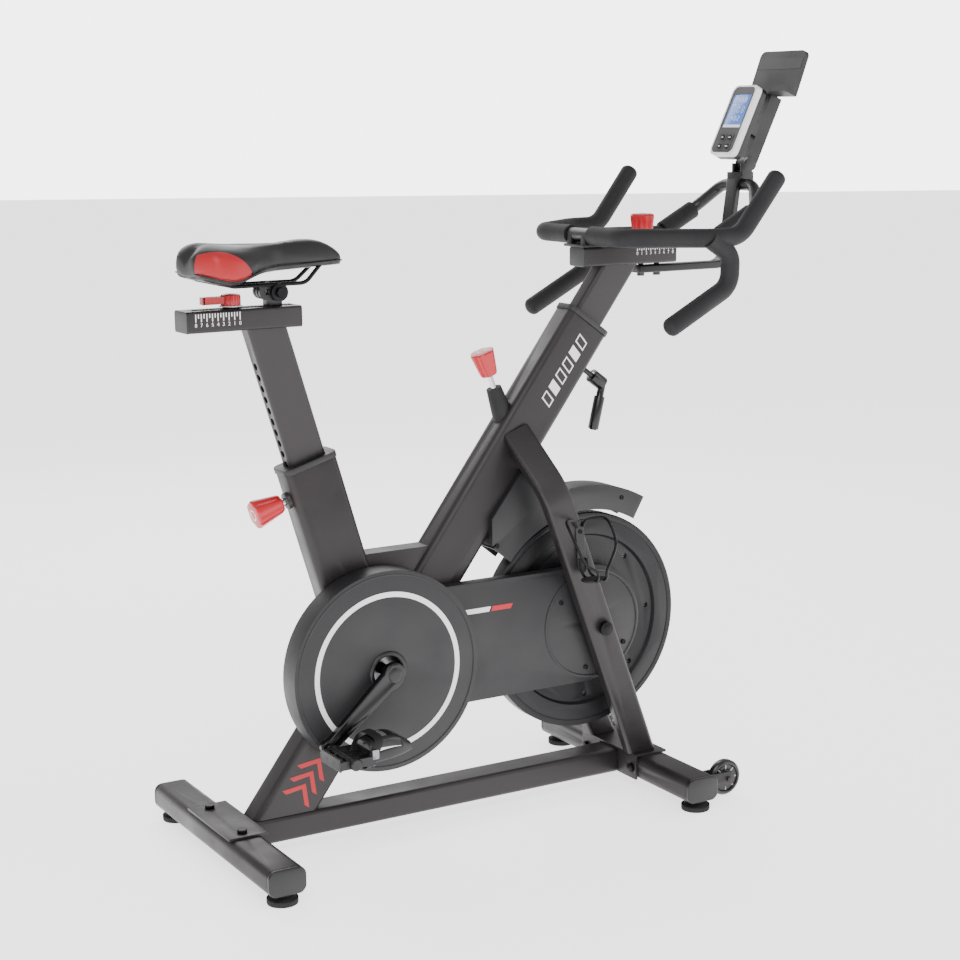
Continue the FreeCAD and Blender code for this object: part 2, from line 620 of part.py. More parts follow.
crankPulley = acrossRod("crank_pulley_disc", 0, d.crankZ, (d.beltY - beltHalf + 2, d.beltY + beltHalf - 2),
                        d.crankPulley)
crankPulleyBore = acrossRod("crank_pulley_bore", 0, d.crankZ, (d.beltY - 30, d.beltY + 30), d.crankAxle)
lightening = []
for number in range(5):
    angle = number * 72 + 20
    lightening.append(acrossRod("pulley_window", 60 * cosine(angle), d.crankZ + 60 * sine(angle),
                                (d.beltY - 30, d.beltY + 30), 18))
keep(without("crank_pulley", crankPulley, crankPulleyBore, joined("pulley_windows", *lightening)),
     "crank_pulley")


def beltOutline(bigRadius, smallRadius):
    # the straight runs touch both circles; the open ends are closed by arcs
    dx = float(d.flyX)
    dz = float(d.flyZ) - float(d.crankZ)
    centre = math.hypot(dx, dz)
    base = math.atan2(dz, dx)
    lean = math.acos((bigRadius - smallRadius) / centre)
    up = base + lean
    down = base - lean
    ends = []
    for x, z, radius in ((0, float(d.crankZ), bigRadius), (dx, float(d.flyZ), smallRadius)):
        for angle in (up, down):
            ends.append(Vector(x + radius * math.cos(angle), 0, z + radius * math.sin(angle)))
    rearMost = Vector(-bigRadius * math.cos(base), 0, float(d.crankZ) - bigRadius * math.sin(base))
    frontMost = Vector(dx + smallRadius * math.cos(base), 0, float(d.flyZ) + smallRadius * math.sin(base))
    return Part.Wire([Part.LineSegment(ends[0], ends[2]).toShape(), Part.Arc(ends[2], frontMost,
                                                                             ends[3]).toShape(),
                      Part.LineSegment(ends[3], ends[1]).toShape(), Part.Arc(ends[1], rearMost,
                                                                             ends[0]).toShape()])


def beltBlock(offset, ys):
    wire = beltOutline(float(d.crankPulley) + offset, float(d.flyPulley) + offset)
    block = Part.Face(wire).extrude(Vector(0, float(ys[1]) - float(ys[0]), 0))
    block.translate(Vector(0, float(ys[0]), 0))
    return block


beltYs = (d.beltY - d.beltWidth / 2, d.beltY + d.beltWidth / 2)
beltGap = float(d.fitGap)
belt = beltBlock(beltGap + float(d.beltThick), beltYs).cut(beltBlock(beltGap, beltYs))
keep(made("drive_belt", belt), "drive_belt")

keep(acrossRod("crank_axle", 0, d.crankZ, (-d.armInner - d.armThick + 2, d.armInner + d.armThick - 2),
               d.crankAxle),
     "crank_axle")

for side, sideName in ((-1, "right"), (1, "left")):
    turn = float(d.crankAngle) + (0 if side < 0 else 180)
    endX = d.crankLength * cosine(turn)
    endZ = d.crankZ + d.crankLength * sine(turn)
    ys = (-d.armInner - d.armThick, -d.armInner) if side < 0 else (d.armInner, d.armInner + d.armThick)
    boss = acrossRod("arm_boss", 0, d.crankZ, ys, d.armBoss)
    tip = acrossRod("arm_tip", endX, endZ, ys, d.armTip)
    armFrame = Placement(Vector(0, 0, float(d.crankZ)), Rotation(Vector(0, 1, 0), 90 - turn))
    outline = [(-d.armBoss * 0.8, 10), (-d.armTip * 0.75, d.crankLength), (d.armTip * 0.75, d.crankLength),
               (d.armBoss * 0.8, 10)]
    web = slab("arm_web", outline, ys, armFrame)
    pinEnd = d.armInner + d.armThick + d.pedalGap + d.pedalWidth - 14
    pinYs = (-pinEnd, -(d.armInner + d.armThick)) if side < 0 else (d.armInner + d.armThick, pinEnd)
    pedalPin = acrossRod("pedal_pin", endX, endZ, pinYs, d.pedalPin)
    axleHole = acrossRod("arm_bore", 0, d.crankZ, (ys[0] - 1, ys[1] + 1), d.crankAxle)
    keep(without("crank_arm_" + sideName, joined("arm_" + sideName, boss, tip, web, pedalPin), axleHole),
         "crank_arm_" + sideName)

    # pedal: two side plates and two cross bars around the spindle tube, level with the floor
    inner = d.armInner + d.armThick + d.pedalGap
    outer = inner + d.pedalWidth
    ys = (-outer, -inner) if side < 0 else (inner, outer)
    zs = (endZ - d.pedalThick / 2, endZ + d.pedalThick / 2)
    block = box("pedal_block", (endX - d.pedalDepth / 2, endX + d.pedalDepth / 2), ys, zs)
    windows = []
    for part in (-1, 1):
        xs = (endX + part * 15, endX + part * (d.pedalDepth / 2 - 12))
        xs = xs if float(xs[0]) < float(xs[1]) else (xs[1], xs[0])
        windows.append(box("pedal_window", xs, (ys[0] + 12, ys[1] - 12), (zs[0] - 1, zs[1] + 1)))
    pinHole = acrossRod("pedal_bore", endX, endZ, (ys[0] + (8 if side < 0 else -1),
                                                   ys[1] + (1 if side < 0 else -8)),
                        d.pedalPin + d.turnGap)
    keep(without("pedal_" + sideName, block, joined("pedal_windows", *windows), pinHole),
         "pedal_" + sideName)

    # toe cage: an open basket of flat bar in front of the pedal
    thick = 3
    frontX = endX + d.pedalDepth / 2
    toeX = frontX + 78
    half = 44
    mid = (float(ys[0]) + float(ys[1])) / 2
    floor = box("toe_floor", (frontX, toeX), (mid - 14, mid + 14), (endZ - 4, endZ - 4 + thick))
    toe = box("toe_front", (toeX - thick, toeX), (mid - 30, mid + 30), (endZ - 4, endZ + 38))
    roof = box("toe_roof", (frontX - 8, toeX), (mid - 30, mid + 30), (endZ + 38, endZ + 38 + thick))
    walls = []
    for edge in (-1, 1):
        lowY = mid + edge * 30 - (thick if edge > 0 else 0)
        walls.append(box("toe_wall", (frontX - 8, toeX), (lowY, lowY + thick), (endZ + 22, endZ + 38)))
        lowY = mid + edge * 30 - (thick if edge > 0 else 0)
        walls.append(box("toe_strut", (frontX, frontX + 12), (lowY, lowY + thick), (endZ - 8, endZ + 30)))
    keep(joined("toe_cage_" + sideName, floor, toe, roof, *walls), "toe_cage_" + sideName)

# ---- guards over the belt ----


def guardShape(offset, faceShift):
    # offset shrinks the outline and faceShift sinks the face, so the same shape makes the inside
    wall = float(offset)
    discY = float(d.guardFace) + faceShift
    armY = float(d.guardFace) + float(d.guardStep) + faceShift
    innerY = float(d.guardInner) + (1 if wall > 0 else 0)
    radius = float(d.guardRadius) - wall
    disc = Part.makeCylinder(radius, innerY - discY, Vector(0, discY, float(d.crankZ)), Vector(0, 1, 0))
    capR = float(d.hubCapRadius) - wall
    capTop = float(d.hubCapTop) - wall
    capY = float(d.hubCapFace) + faceShift
    edgeY = float(d.hubCapEdge) + faceShift
    hub = Vector(float(d.flyX), edgeY, float(d.flyZ))
    cap = Part.makeCylinder(capR, innerY - edgeY, hub, Vector(0, 1, 0))
    crown = Part.makeCone(capR, capTop, edgeY - capY, hub, Vector(0, -1, 0))
    high = float(d.flyZ) + capR
    low = float(d.flyZ) - capR
    arm = Part.makeBox(float(d.flyX) - 40, innerY - armY, high - low, Vector(40, armY, low))
    return disc.fuse([cap, crown, arm])


guard = guardShape(0, 0).cut(guardShape(float(d.guardWall), float(d.guardWall)))
crankHole = Part.makeCylinder(float(d.crankHole), 120, Vector(0, -110, float(d.crankZ)), Vector(0, 1, 0))
axleHole = Part.makeCylinder(float(d.flyAxle), 120, Vector(float(d.flyX), -110, float(d.flyZ)), Vector(0, 1,
                                                                                                       0))
keep(made("guard_right", guard.cut(crankHole).cut(axleHole)), "guard_right")

leftDisc = acrossRod("left_disc", 0, d.crankZ, (d.leftGuardInner, d.leftGuardFace), d.leftGuardRadius)
leftInside = acrossRod("left_inside", 0, d.crankZ, (d.leftGuardInner - 5, d.leftGuardFace - d.guardWall),
                       d.leftGuardRadius - d.guardWall)
leftHole = acrossRod("left_hole", 0, d.crankZ, (d.leftGuardInner - 5, d.leftGuardFace + 5), d.crankHole)
keep(without("guard_left", leftDisc, leftInside, leftHole), "guard_left")

# ---- brake: cover over the top of the flywheel, magnet bracket, stem, knob and boot ----


def ringSector(inner, outer, ys, start, sweep):
    low = Vector(float(d.flyX), float(ys[0]), float(d.flyZ))
    tall = float(ys[1]) - float(ys[0])
    solid = Part.makeCylinder(outer, tall, low, Vector(0, 1, 0)).cut(
        Part.makeCylinder(inner, tall, low, Vector(0, 1, 0)))
    reach = outer * 1.6
    corners = []
    for angle in (start, start + sweep / 2, start + sweep):
        corners.append(Vector(low.x + reach * cosine(angle), low.y, low.z + reach * sine(angle)))
    wedge = Part.Face(Part.makePolygon([low] + corners + [low])).extrude(Vector(0, tall, 0))
    return solid.common(wedge)


coverYs = (float(d.coverNear), float(d.coverFar))
wall = float(d.coverWall)
start = float(d.coverStart)
sweep = float(d.coverSweep)
cover = ringSector(float(d.coverInner), float(d.coverOuter), coverYs, start, sweep)
cover = cover.cut(ringSector(float(d.coverInner) - 2, float(d.coverOuter) - wall,
                             (coverYs[0] + wall, coverYs[1] - wall), start - 3, sweep + 6))
blockCorners = [(305, 635), (238, 550), (238, 500), (275, 520), (340, 570), (360, 590)]
blockFace = Part.Face(Part.makePolygon([Vector(x, coverYs[0], z) for x,
                                        z in blockCorners + blockCorners[:1]]))
block = blockFace.extrude(Vector(0, coverYs[1] - coverYs[0], 0))
outerDisc = Part.makeCylinder(float(d.coverOuter), 200, Vector(float(d.flyX), -100, float(d.flyZ)), Vector(0,
                                                                                                           1,
                                                                                                           0))
block = block.cut(outerDisc).cut(mainSolid.Shape)
stemRoom = stemFrame.multVec(Vector(0, 0, -float(d.stemReach) - 12))
stemTop = stemFrame.multVec(Vector(0, 0, 0))
stemChannel = Part.makeCylinder(float(d.stemRadius) + 3, stemRoom.distanceToPoint(stemTop), stemRoom,
                                stemTop - stemRoom)
cover = cover.fuse(block).cut(stemChannel)
pivotAngle = 72
pivotRadius = float(d.bracketInner) + float(d.bracketThick) + 6
pivotX = float(d.flyX) + pivotRadius * cosine(pivotAngle)
pivotZ = float(d.flyZ) + pivotRadius * sine(pivotAngle)
pivotPin = Part.makeCylinder(3, coverYs[1] - coverYs[0] - wall, Vector(pivotX, coverYs[0] + wall / 2,
                                                                       pivotZ),
                             Vector(0, 1, 0))
keep(made("brake_cover", cover.fuse(pivotPin)), "brake_cover")

bracketYs = (float(face) + 2, float(face) + 2 + float(d.magnetWidth) + 4)
bracket = ringSector(float(d.bracketInner), float(d.bracketInner) + float(d.bracketThick), bracketYs, 74, 62)
eye = Part.makeCylinder(8, bracketYs[1] - bracketYs[0], Vector(pivotX, bracketYs[0], pivotZ), Vector(0, 1,
                                                                                                     0))
eyeBore = Part.makeCylinder(3.06, 80, Vector(pivotX, bracketYs[0] - 20, pivotZ), Vector(0, 1, 0))
flyRoom = Part.makeCylinder(float(d.bracketInner) - 4, 200, Vector(float(d.flyX), -100, float(d.flyZ)),
                            Vector(0, 1, 0))
keep(made("magnet_bracket", bracket.fuse(eye.cut(flyRoom)).cut(eyeBore)), "magnet_bracket")
magnets = []
magnetLow = float(d.bracketInner) - float(d.magnetThick)
span = math.degrees(float(d.magnetLength) / float(d.bracketInner))
for number in range(4):
    magnets.append(ringSector(magnetLow, float(d.bracketInner), (bracketYs[0] + 2, bracketYs[1] - 2),
                              94 + number * 10.5, span))
keep(made("brake_magnets", Part.makeCompound(magnets)), "brake_magnets")

keep(rod("resistance_stem", (0, 0, -float(d.stemReach)), Rotation(), d.stemRadius,
         d.stemReach + d.knobLow + 20,
         stemFrame), "resistance_stem")
knobProfile = [(0, d.knobLow + 20.3), (d.stemRadius + d.turnGap, d.knobLow + 20.3),
               (d.stemRadius + d.turnGap, d.knobLow), (d.knobNarrow, d.knobLow), (d.knobWide,
                                                                                  d.knobHigh - 8),
               (d.knobWide, d.knobHigh - 3), (d.knobWide - 4, d.knobHigh), (0, d.knobHigh)]
keep(turned("resistance_knob", knobProfile, stemFrame), "resistance_knob")
boot = taper("boot_cone", (0, 0, -float(d.bootReach)), Rotation(), d.bootWide, d.bootNarrow, d.bootReach - 4,
             stemFrame)
bootBore = rod("boot_bore", (0, 0, -float(d.bootReach) - 5), Rotation(), d.stemRadius + d.fitGap,
               d.bootReach + 10,
               stemFrame)
keep(without("resistance_boot", boot, bootBore, mainSolid), "resistance_boot")

# ---- bottle cage on the right leg ----

doc.recompute()
cageY = -125
rails = []
for top, bottom in (((331, 546), (390, 471)), ((357, 552), (427, 479))):
    points = [(top[0], cageY, top[1]), (bottom[0], cageY, bottom[1]), (393 + (bottom[0] - 408) * 0.9,
                                                                       cageY - 6, 440)]
    rails.append(pipe(bentPath(points, [20]), 4))
cageBack = Part.makeBox(26, 8, 60, Vector(352, cageY + 3, 490))
cup = Part.makeBox(44, 60, 5, Vector(371, cageY - 56, 437))
cupFront = Part.makeBox(44, 5, 40, Vector(371, cageY - 56, 437))
cage = rails[0].fuse([rails[1], cageBack, cup,
                      cupFront]).cut(subParts[[p.Label for p in subParts].index("fork_leg_right")].Shape)
keep(made("bottle_cage", cage), "bottle_cage")

# ---- seat: post with rail, slider, saddle, rods, lever and pin knob ----

postLow = d.seatTubeLength - d.postDepthIn
postTop = (d.railLow - d.crankZ) / cosine(d.seatLean)
post = bar("seat_post_bar", d.postDepth, d.postWidth, d.postCorner, postLow, postTop - postLow + 25,
           seatFrame,
           d.postWall)
aboveRail = box("above_rail", (d.railBack, d.railFront + 60), (-60, 60), (d.railLow, d.railHigh + 60))
railPlace = Placement(Vector(float(d.railBack), 0, (float(d.railLow) + float(d.railHigh)) / 2), alongX)
rail = bar("rail", d.railHigh - d.railLow, d.railWidth, 5, 0, d.railFront - d.railBack, railPlace,
           d.railWall)
railSlot = box("rail_slot", (d.railBack + 16, d.railFront - 3), (-d.railSlot / 2, d.railSlot / 2),
               (d.railHigh - 6, d.railHigh + 5))
holes = []
for number in range(16):
    spot = d.pinSpot + d.pinPitch * (number - 3)
    holes.append(rod("post_hole", (-float(d.postDepth) / 2 - 5, 0, spot), alongX, d.pinRadius + d.fitGap, 12,
                     seatFrame))
trimmedPost = without("trimmed_post", post, aboveRail, joined("post_holes", *holes))
keep(without("seat_post", joined("post_and_rail", trimmedPost, rail), railSlot), "seat_post")

sliderZs = (d.railLow + d.railWall + d.fitGap, d.railHigh - d.railWall - d.fitGap)
sliderHalf = d.railWidth / 2 - d.railWall - d.fitGap
slider = bar("slider_bar", sliderZs[1] - sliderZs[0], sliderHalf * 2, 2, 0, d.sliderFront - d.sliderBack,
             Placement(Vector(float(d.sliderBack), 0, float(d.railLow + d.railHigh) / 2), alongX))
onRail = d.railHigh + d.fitGap
neck = box("neck", (d.neckBack, d.neckFront), (-d.railSlot / 2 + 1, d.railSlot / 2 - 1), (sliderZs[1] - 1,
                                                                                          onRail + 1))
saddleBase = box("saddle_base", (d.neckBack, d.neckFront), (-13, 13), (onRail, d.saddlePivotZ))
knuckle = acrossRod("knuckle", d.saddlePivotX, d.saddlePivotZ, (-13, 13), 13)
cross = acrossRod("cross_pin", d.saddlePivotX, d.saddlePivotZ, (-34, 34), d.pivotPin)
washer = rod("washer", (d.leverX, 0, onRail), Rotation(), 14, 2.5)
stud = rod("lever_stud", (d.leverX, 0, sliderZs[1] - 1), Rotation(), d.leverStud, d.leverHeight + 6)
keep(joined("seat_slider", slider, neck, saddleBase, knuckle, cross, washer, stud), "seat_slider")

leverLow = onRail + 2.5 + d.fitGap
leverBody = rod("lever_body", (d.leverX, 0, leverLow), Rotation(), 17, d.leverHeight)
leverArm = box("lever_arm", (d.leverX - 50, d.leverX), (-8, 8), (leverLow + 4, leverLow + 18))
leverBore = rod("lever_bore", (d.leverX, 0, leverLow - 1), Rotation(), d.leverStud + d.turnGap,
               d.leverHeight - 0.2)
keep(without("seat_lever", joined("lever", leverBody, leverArm), leverBore), "seat_lever")

doc.recompute()
rods = []
for side in (-1, 1):
    y = side * float(d.saddleRodY)
    low = float(d.saddlePivotZ + d.saddleRodRise)
    high = float(d.saddleLow) + 2
    noseHigh = float(d.saddleLow + d.railNoseRise)
    noseX = float(d.saddleNose - d.railNoseBack)
    points = [(float(d.saddleBack) + 30, y, high), (-240, y, low), (-110, y, low), (noseX, y * 0.7,
                                                                                    noseHigh)]
    rods.append(pipe(bentPath(points, [25, 25]), d.saddleRod))
plates = []
for side in (-1, 1):
    y = 14 if side > 0 else -30
    plates.append(Part.makeCylinder(15, 16, Vector(float(d.saddlePivotX), y, float(d.saddlePivotZ)),
                                    Vector(0, 1, 0)))
crossBore = Part.makeCylinder(float(d.pivotPin) + float(d.turnGap), 100,
                              Vector(float(d.saddlePivotX), -50, float(d.saddlePivotZ)), Vector(0, 1, 0))
keep(made("saddle_rails", rods[0].fuse([rods[1], plates[0], plates[1]]).cut(crossBore)), "saddle_rails")

halfOutline = [(d.saddleBack, 30), (d.saddleBack + 14, d.saddleHalf - 8), (d.saddleBack + 60, d.saddleHalf),
               (d.saddleBack + 115, d.saddleHalf * 0.72), (d.saddleBack + 165, d.saddleNoseHalf + 8),
               (d.saddleNose - 30, d.saddleNoseHalf), (d.saddleNose, d.saddleNoseHalf * 0.5)]
outline = halfOutline + [(x, -y) for x, y in reversed(halfOutline)]
saddleBody = doc.addObject("PartDesign::Body", "saddle_block")
saddlePad = saddleBody.newObject("PartDesign::Pad", "saddle_pad")
saddlePad.Profile = sketchOn(saddleBody, "saddle_outline", "XY_Plane", [outline], d.saddleLow)
bind(saddlePad, Length=d.saddleHigh - d.saddleLow)
doc.recompute()
cushion = saddleBody.Shape
for shape in rods:
    cushion = cushion.cut(shape)
keep(made("saddle_cushion", cushion), "saddle_cushion")

pinTip = -float(d.postDepth) / 2 - 0.5
pinStem = rod("pin_stem", (-float(d.pinKnobStart) - 6, 0, d.pinSpot), alongX, d.pinRadius,
              pinTip + float(d.pinKnobStart) + 6, seatFrame)
pinKnob = taper("pin_knob", (-float(d.pinKnobEnd), 0, d.pinSpot), alongX, d.pinKnobWide, d.pinKnobNarrow,
                d.pinKnobEnd - d.pinKnobStart, seatFrame)
pinRim = rod("pin_rim", (-float(d.pinKnobEnd) - 5, 0, d.pinSpot), alongX, d.pinKnobWide - 2, 5, seatFrame)
keep(joined("seat_pin_knob", pinStem, pinKnob, pinRim), "seat_pin_knob")

# ---- handlebar: post with sleeve, carriage and bars, foam, knob, clamp lever ----

barPostLow = d.mainTubeLength - d.barPostIn
barPostTop = (d.sleeveLow - d.crankZ) / cosine(d.mainLean)
barPost = bar("bar_post", d.barPostDepth, d.barPostWidth, d.postCorner, barPostLow,
              barPostTop - barPostLow + 30,
              mainFrame, d.postWall)
aboveSleeve = box("above_sleeve", (d.sleeveBack - 60, d.sleeveFront + 60), (-60, 60), (d.sleeveLow,
                                                                                       d.sleeveHigh + 80))
sleevePlace = Placement(Vector(float(d.sleeveBack), 0, float(d.sleeveLow + d.sleeveHigh) / 2), alongX)
sleeve = bar("sleeve", d.sleeveHigh - d.sleeveLow, d.sleeveWidth, 5, 0, d.sleeveFront - d.sleeveBack,
             sleevePlace,
             d.sleeveWall)
neckXs = (d.carriageBack, d.carriageBack + d.neckLength)
slotHalf = d.neckWidth / 2 + 1
topSlot = box("top_slot", (neckXs[0] - 2, neckXs[1] + d.barTravel + 2), (-slotHalf, slotHalf),
              (d.sleeveHigh - 6, d.sleeveHigh + 5))
lowSlot = box("low_slot", (d.topKnobX - 17, d.sleeveFront + 5), (-7, 7), (d.sleeveLow - 5, d.sleeveLow + 6))
knobHole = rod("knob_hole", (d.topKnobX, 0, d.sleeveHigh - 6), Rotation(), d.topKnobStud + d.turnGap, 12)
trimmedBarPost = without("trimmed_bar_post", barPost, aboveSleeve)
keep(without("handlebar_post", joined("bar_post_and_sleeve", trimmedBarPost, sleeve), topSlot, lowSlot,
             knobHole),
     "handlebar_post")

doc.recompute()
innerZs = (float(d.sleeveLow + d.sleeveWall + d.fitGap), float(d.sleeveHigh - d.sleeveWall - d.fitGap))
innerHalf = float(d.sleeveWidth) / 2 - float(d.sleeveWall) - float(d.fitGap)
x0 = float(d.carriageBack)
carriagePlace = Placement(Vector(x0, 0, (innerZs[0] + innerZs[1]) / 2), alongX)
carriage = bar("carriage", innerZs[1] - innerZs[0], innerHalf * 2, 2, 0, d.carriageFront - x0,
               carriagePlace).Shape
neckBox = Part.makeBox(float(d.neckLength), float(d.neckWidth), float(d.sleeveHigh) + 3 - innerZs[1],
                       Vector(x0, -float(d.neckWidth) / 2, innerZs[1]))
topPlate = Part.makeBox(float(d.topPlateLength), float(d.topPlateWidth), 5,
                        Vector(float(d.barX) - 19, -float(d.topPlateWidth) / 2, float(d.sleeveHigh) + 1))
barZ = float(d.barZ)
posts = [Part.makeBox(26, 14, barZ - float(d.sleeveHigh) - 2, Vector(float(d.barX) - 13, y,
                                                                     float(d.sleeveHigh) + 2))
         for y in (-30, 16)]


def barPoints(side):
    y = side * float(d.barSide)
    return [(float(d.barX), side * 135, barZ), (583, y, barZ), (644, side * 228, barZ + 1), (722, y,
                                                                                             barZ + 101)]


right = barPoints(-1)
left = barPoints(1)
mainRoute = bentPath([right[3], right[2], right[1], right[0], left[0], left[1], left[2], left[3]],
                     [45, 60, d.barBend, d.barBend, 60, 45])
mainBar = pipe(mainRoute, d.barRadius)


def dropRoute(side):
    y = side * float(d.barSide)
    return bentPath([(575, y, barZ), (622, y, barZ - 30), (620, y, barZ - 85), (495, y, barZ - 151)], [30,
                                                                                                       38])


drops = [pipe(dropRoute(side), d.barRadius) for side in (-1, 1)]
hoopY = float(d.hoopHalf)
hoopPoints = [(float(d.barX), -hoopY, barZ - 4), (700, -hoopY, barZ - 7), (786, -hoopY, 1088), (816, -48,
                                                                                                1130),
              (816, 48, 1130), (786, hoopY, 1088), (700, hoopY, barZ - 7), (float(d.barX), hoopY, barZ - 4)]
hoop = pipe(bentPath(hoopPoints, [50, 40, 40, 40, 40, 50]), d.hoopRadius)
bars = mainBar.fuse([drops[0], drops[1], hoop])
# the carriage slides inside the sleeve; the neck passes through its slot to the bars
barFrame = bars.fuse([neckBox, topPlate] + posts).Solids
keep(made("handlebar_frame", Part.makeCompound(barFrame + carriage.Solids)), "handlebar_frame")

foamR = float(d.foamRadius)
centreGap = Part.makeBox(60, 70, 60, Vector(float(d.barX) - 30, -35, barZ - 30))
mainFoam = pipe(mainRoute, foamR).fuse([pipe(dropRoute(side), foamR) for side in (-1, 1)])
hoopLegs = [[hoopPoints[0], hoopPoints[1]], [hoopPoints[-1], hoopPoints[-2]]]
hoopRoom = [pipe(bentPath(leg, []), d.hoopRadius + d.fitGap) for leg in hoopLegs]
foams = mainFoam.cut([bars, centreGap] + hoopRoom).Solids
for side in (-1, 1):
    sleevePart = pipe(bentPath([(705, side * hoopY, barZ - 5), (714, side * hoopY, barZ), (775, side * hoopY,
                                                                                           1081)],
                               [5]), d.hoopFoam)
    foams.append(sleevePart.cut(bars))
keep(made("bar_foam", Part.makeCompound(foams)), "bar_foam")

mastRoute = bentPath([(579, 0, 981), (783, 0, 981), (806, 0, 1140)], [d.mastBend])
mastSection = roundedWire(Vector(579, 0, 981), Vector(0, 1, 0), Vector(0, 0, 1), float(d.mastWidth),
                          float(d.mastDepth), 3)
mast = mastRoute.makePipeShell([mastSection], True, False)
spacers = [Part.makeCylinder(5, innerZs[0] - 985, Vector(x, 0, 985)) for x in (590, 626)]
heads = [Part.makeCylinder(7, 6, Vector(x, 0, 968)) for x in (590, 626)]
hinge = Vector(float(d.hingeX), 0, float(d.hingeZ))
clampBlock = Part.makeBox(40, 30, 30, Vector(800, -15, 1124))
ears = []
for y in (-16, 10.5):
    ears.append(Part.makeCylinder(float(d.lugRadius), 5.5, Vector(hinge.x, y, hinge.z), Vector(0, 1, 0)))
    ears.append(Part.makeBox(24, 5.5, 24, Vector(812, y, 1146)))
hingePin = Part.makeCylinder(float(d.hingePin), 32, Vector(hinge.x, -16, hinge.z), Vector(0, 1, 0))
console = mast.fuse(spacers + heads + [clampBlock] + ears + [hingePin]).cut(bars)
lugRoom = Part.makeCylinder(float(d.lugRadius) + 1, 20.6, Vector(hinge.x, -10.3, hinge.z), Vector(0, 1, 0))
lugRoom = lugRoom.cut(hingePin)
keep(made("console_bracket", console.cut(lugRoom)), "console_bracket")

topKnobProfile = [(0, d.sleeveHigh - 2.7), (d.topKnobStud, d.sleeveHigh - 2.7), (d.topKnobStud,
                                                                                 d.topKnobLow),
                  (d.topKnobNarrow, d.topKnobLow), (d.topKnobWide, d.topKnobHigh - 8), (d.topKnobWide,
                                                                                        d.topKnobHigh - 3),
                  (d.topKnobWide - 4, d.topKnobHigh), (0, d.topKnobHigh)]
keep(turned("handlebar_knob", topKnobProfile, Placement(Vector(float(d.topKnobX), 0, 0), Rotation())),
     "handlebar_knob")

doc.recompute()
clampIn = clampFrame.multVec(Vector(0, 0, -12))
clampOut = clampFrame.multVec(Vector(0, 0, float(d.clampReach)))
clampRod = Part.makeCylinder(float(d.clampStud), clampIn.distanceToPoint(clampOut), clampIn,
                             clampOut - clampIn)
clampBossPoint = clampFrame.multVec(Vector(0, 0, 12))
clampBoss = Part.makeCylinder(13, float(d.clampReach) - 12, clampBossPoint, clampOut - clampBossPoint)
clampTip = Vector(483, 0, 686)
clampArm = pipe(bentPath([clampFrame.multVec(Vector(0, 0, 20)), clampOut, clampTip], [10]), 7)
grip = Part.makeCylinder(10, 62, clampTip + (clampOut - clampTip).normalize() * 2, clampOut - clampTip)
keep(made("clamp_lever", clampRod.fuse([clampBoss, clampArm, grip])), "clamp_lever")

# ---- console with its screen, buttons and tablet tray ----

consoleFrame = tilted(d.consoleX, d.consoleZ, d.consoleLean)
case = box("case_box", (0, d.consoleDeep), (-d.consoleHalf, d.consoleHalf), (0, d.consoleHigh), consoleFrame)
rounding = doc.addObject("Part::Fillet", "case_round")
rounding.Base = case
doc.recompute()
depthWay = consoleFrame.Rotation.multVec(Vector(1, 0, 0))
edgeList = []
for number, edge in enumerate(case.Shape.Edges):
    if abs(edge.tangentAt(edge.FirstParameter).dot(depthWay)) > 0.999:
        edgeList.append((number + 1, float(d.consoleCorner), float(d.consoleCorner)))
rounding.Edges = edgeList
block = box("case_block", (d.consoleDeep, 54), (-10, 10), (62, 92), consoleFrame)
window = box("screen_window", (-1, 2), (-d.consoleHalf + 9, d.consoleHalf - 9), (56, 124), consoleFrame)
sockets = []
buttonSpots = []
for row in (0, 1):
    for column in (-1, 1):
        buttonSpots.append((column * d.buttonSpacing / 2, 16 + row * 18))
for y, z in buttonSpots:
    sockets.append(rod("socket", (-1, y, z), alongX, d.buttonRadius + d.fitGap, 7, consoleFrame))
keep(without("console_case", joined("case_solid", rounding, block), window, *sockets), "console_case")
keep(box("console_screen", (0.2, 2), (-d.consoleHalf + 9.2, d.consoleHalf - 9.2), (56.2, 123.8),
         consoleFrame),
     "console_screen")
for number, (y, z) in enumerate(buttonSpots):
    button = rod("button", (-2, y, z), alongX, d.buttonRadius, 5, consoleFrame)
    keep(button, "console_button_%d" % (number + 1))

doc.recompute()
trayFrame = tilted(d.trayX, d.trayZ, d.trayLean)
trayPlate = box("tray_plate", (0, d.trayThick), (-d.trayHalf, d.trayHalf), (0, d.trayHigh), trayFrame)
trayLip = box("tray_lip", (-d.trayLip, 0), (-d.trayHalf, d.trayHalf), (0, 5), trayFrame)
trayStop = box("tray_stop", (-d.trayLip, -d.trayLip + 4), (-d.trayHalf, d.trayHalf), (0, 12), trayFrame)
mastPost = box("tray_post", (54, 80), (-10, 10), (18, 150), consoleFrame)
trayPart = joined("tray_parts", trayPlate, trayLip, trayStop, mastPost)
lug = acrossRod("lug", d.hingeX, d.hingeZ, (-10, 10), d.lugRadius)
lugBore = acrossRod("lug_bore", d.hingeX, d.hingeZ, (-20, 20), d.hingePin + d.turnGap)
keep(without("tablet_holder", joined("tray_and_lug", trayPart, lug), lugBore), "tablet_holder")

# ---- move everything to the middle of the footprint, check it and write the files ----

doc.recompute()
bounds = FreeCAD.BoundBox()
for part in subParts:
    bounds.add(part.Shape.BoundBox)
shift = Vector(-bounds.Center.x, -bounds.Center.y, -bounds.ZMin)
for part in subParts:
    part.Placement = Placement(shift, Rotation()) * part.Placement
doc.recompute()

problems = []
for item in doc.Objects:
    if "Invalid" in item.State or "Error" in item.State:
        problems.append("%s is %s" % (item.Label, item.State))
for part in subParts:
    if part.Shape.isNull() or not part.Shape.isValid() or not part.Shape.Solids:
        problems.append("%s has no valid solid" % part.Label)
if problems:
    raise RuntimeError("; ".join(problems))

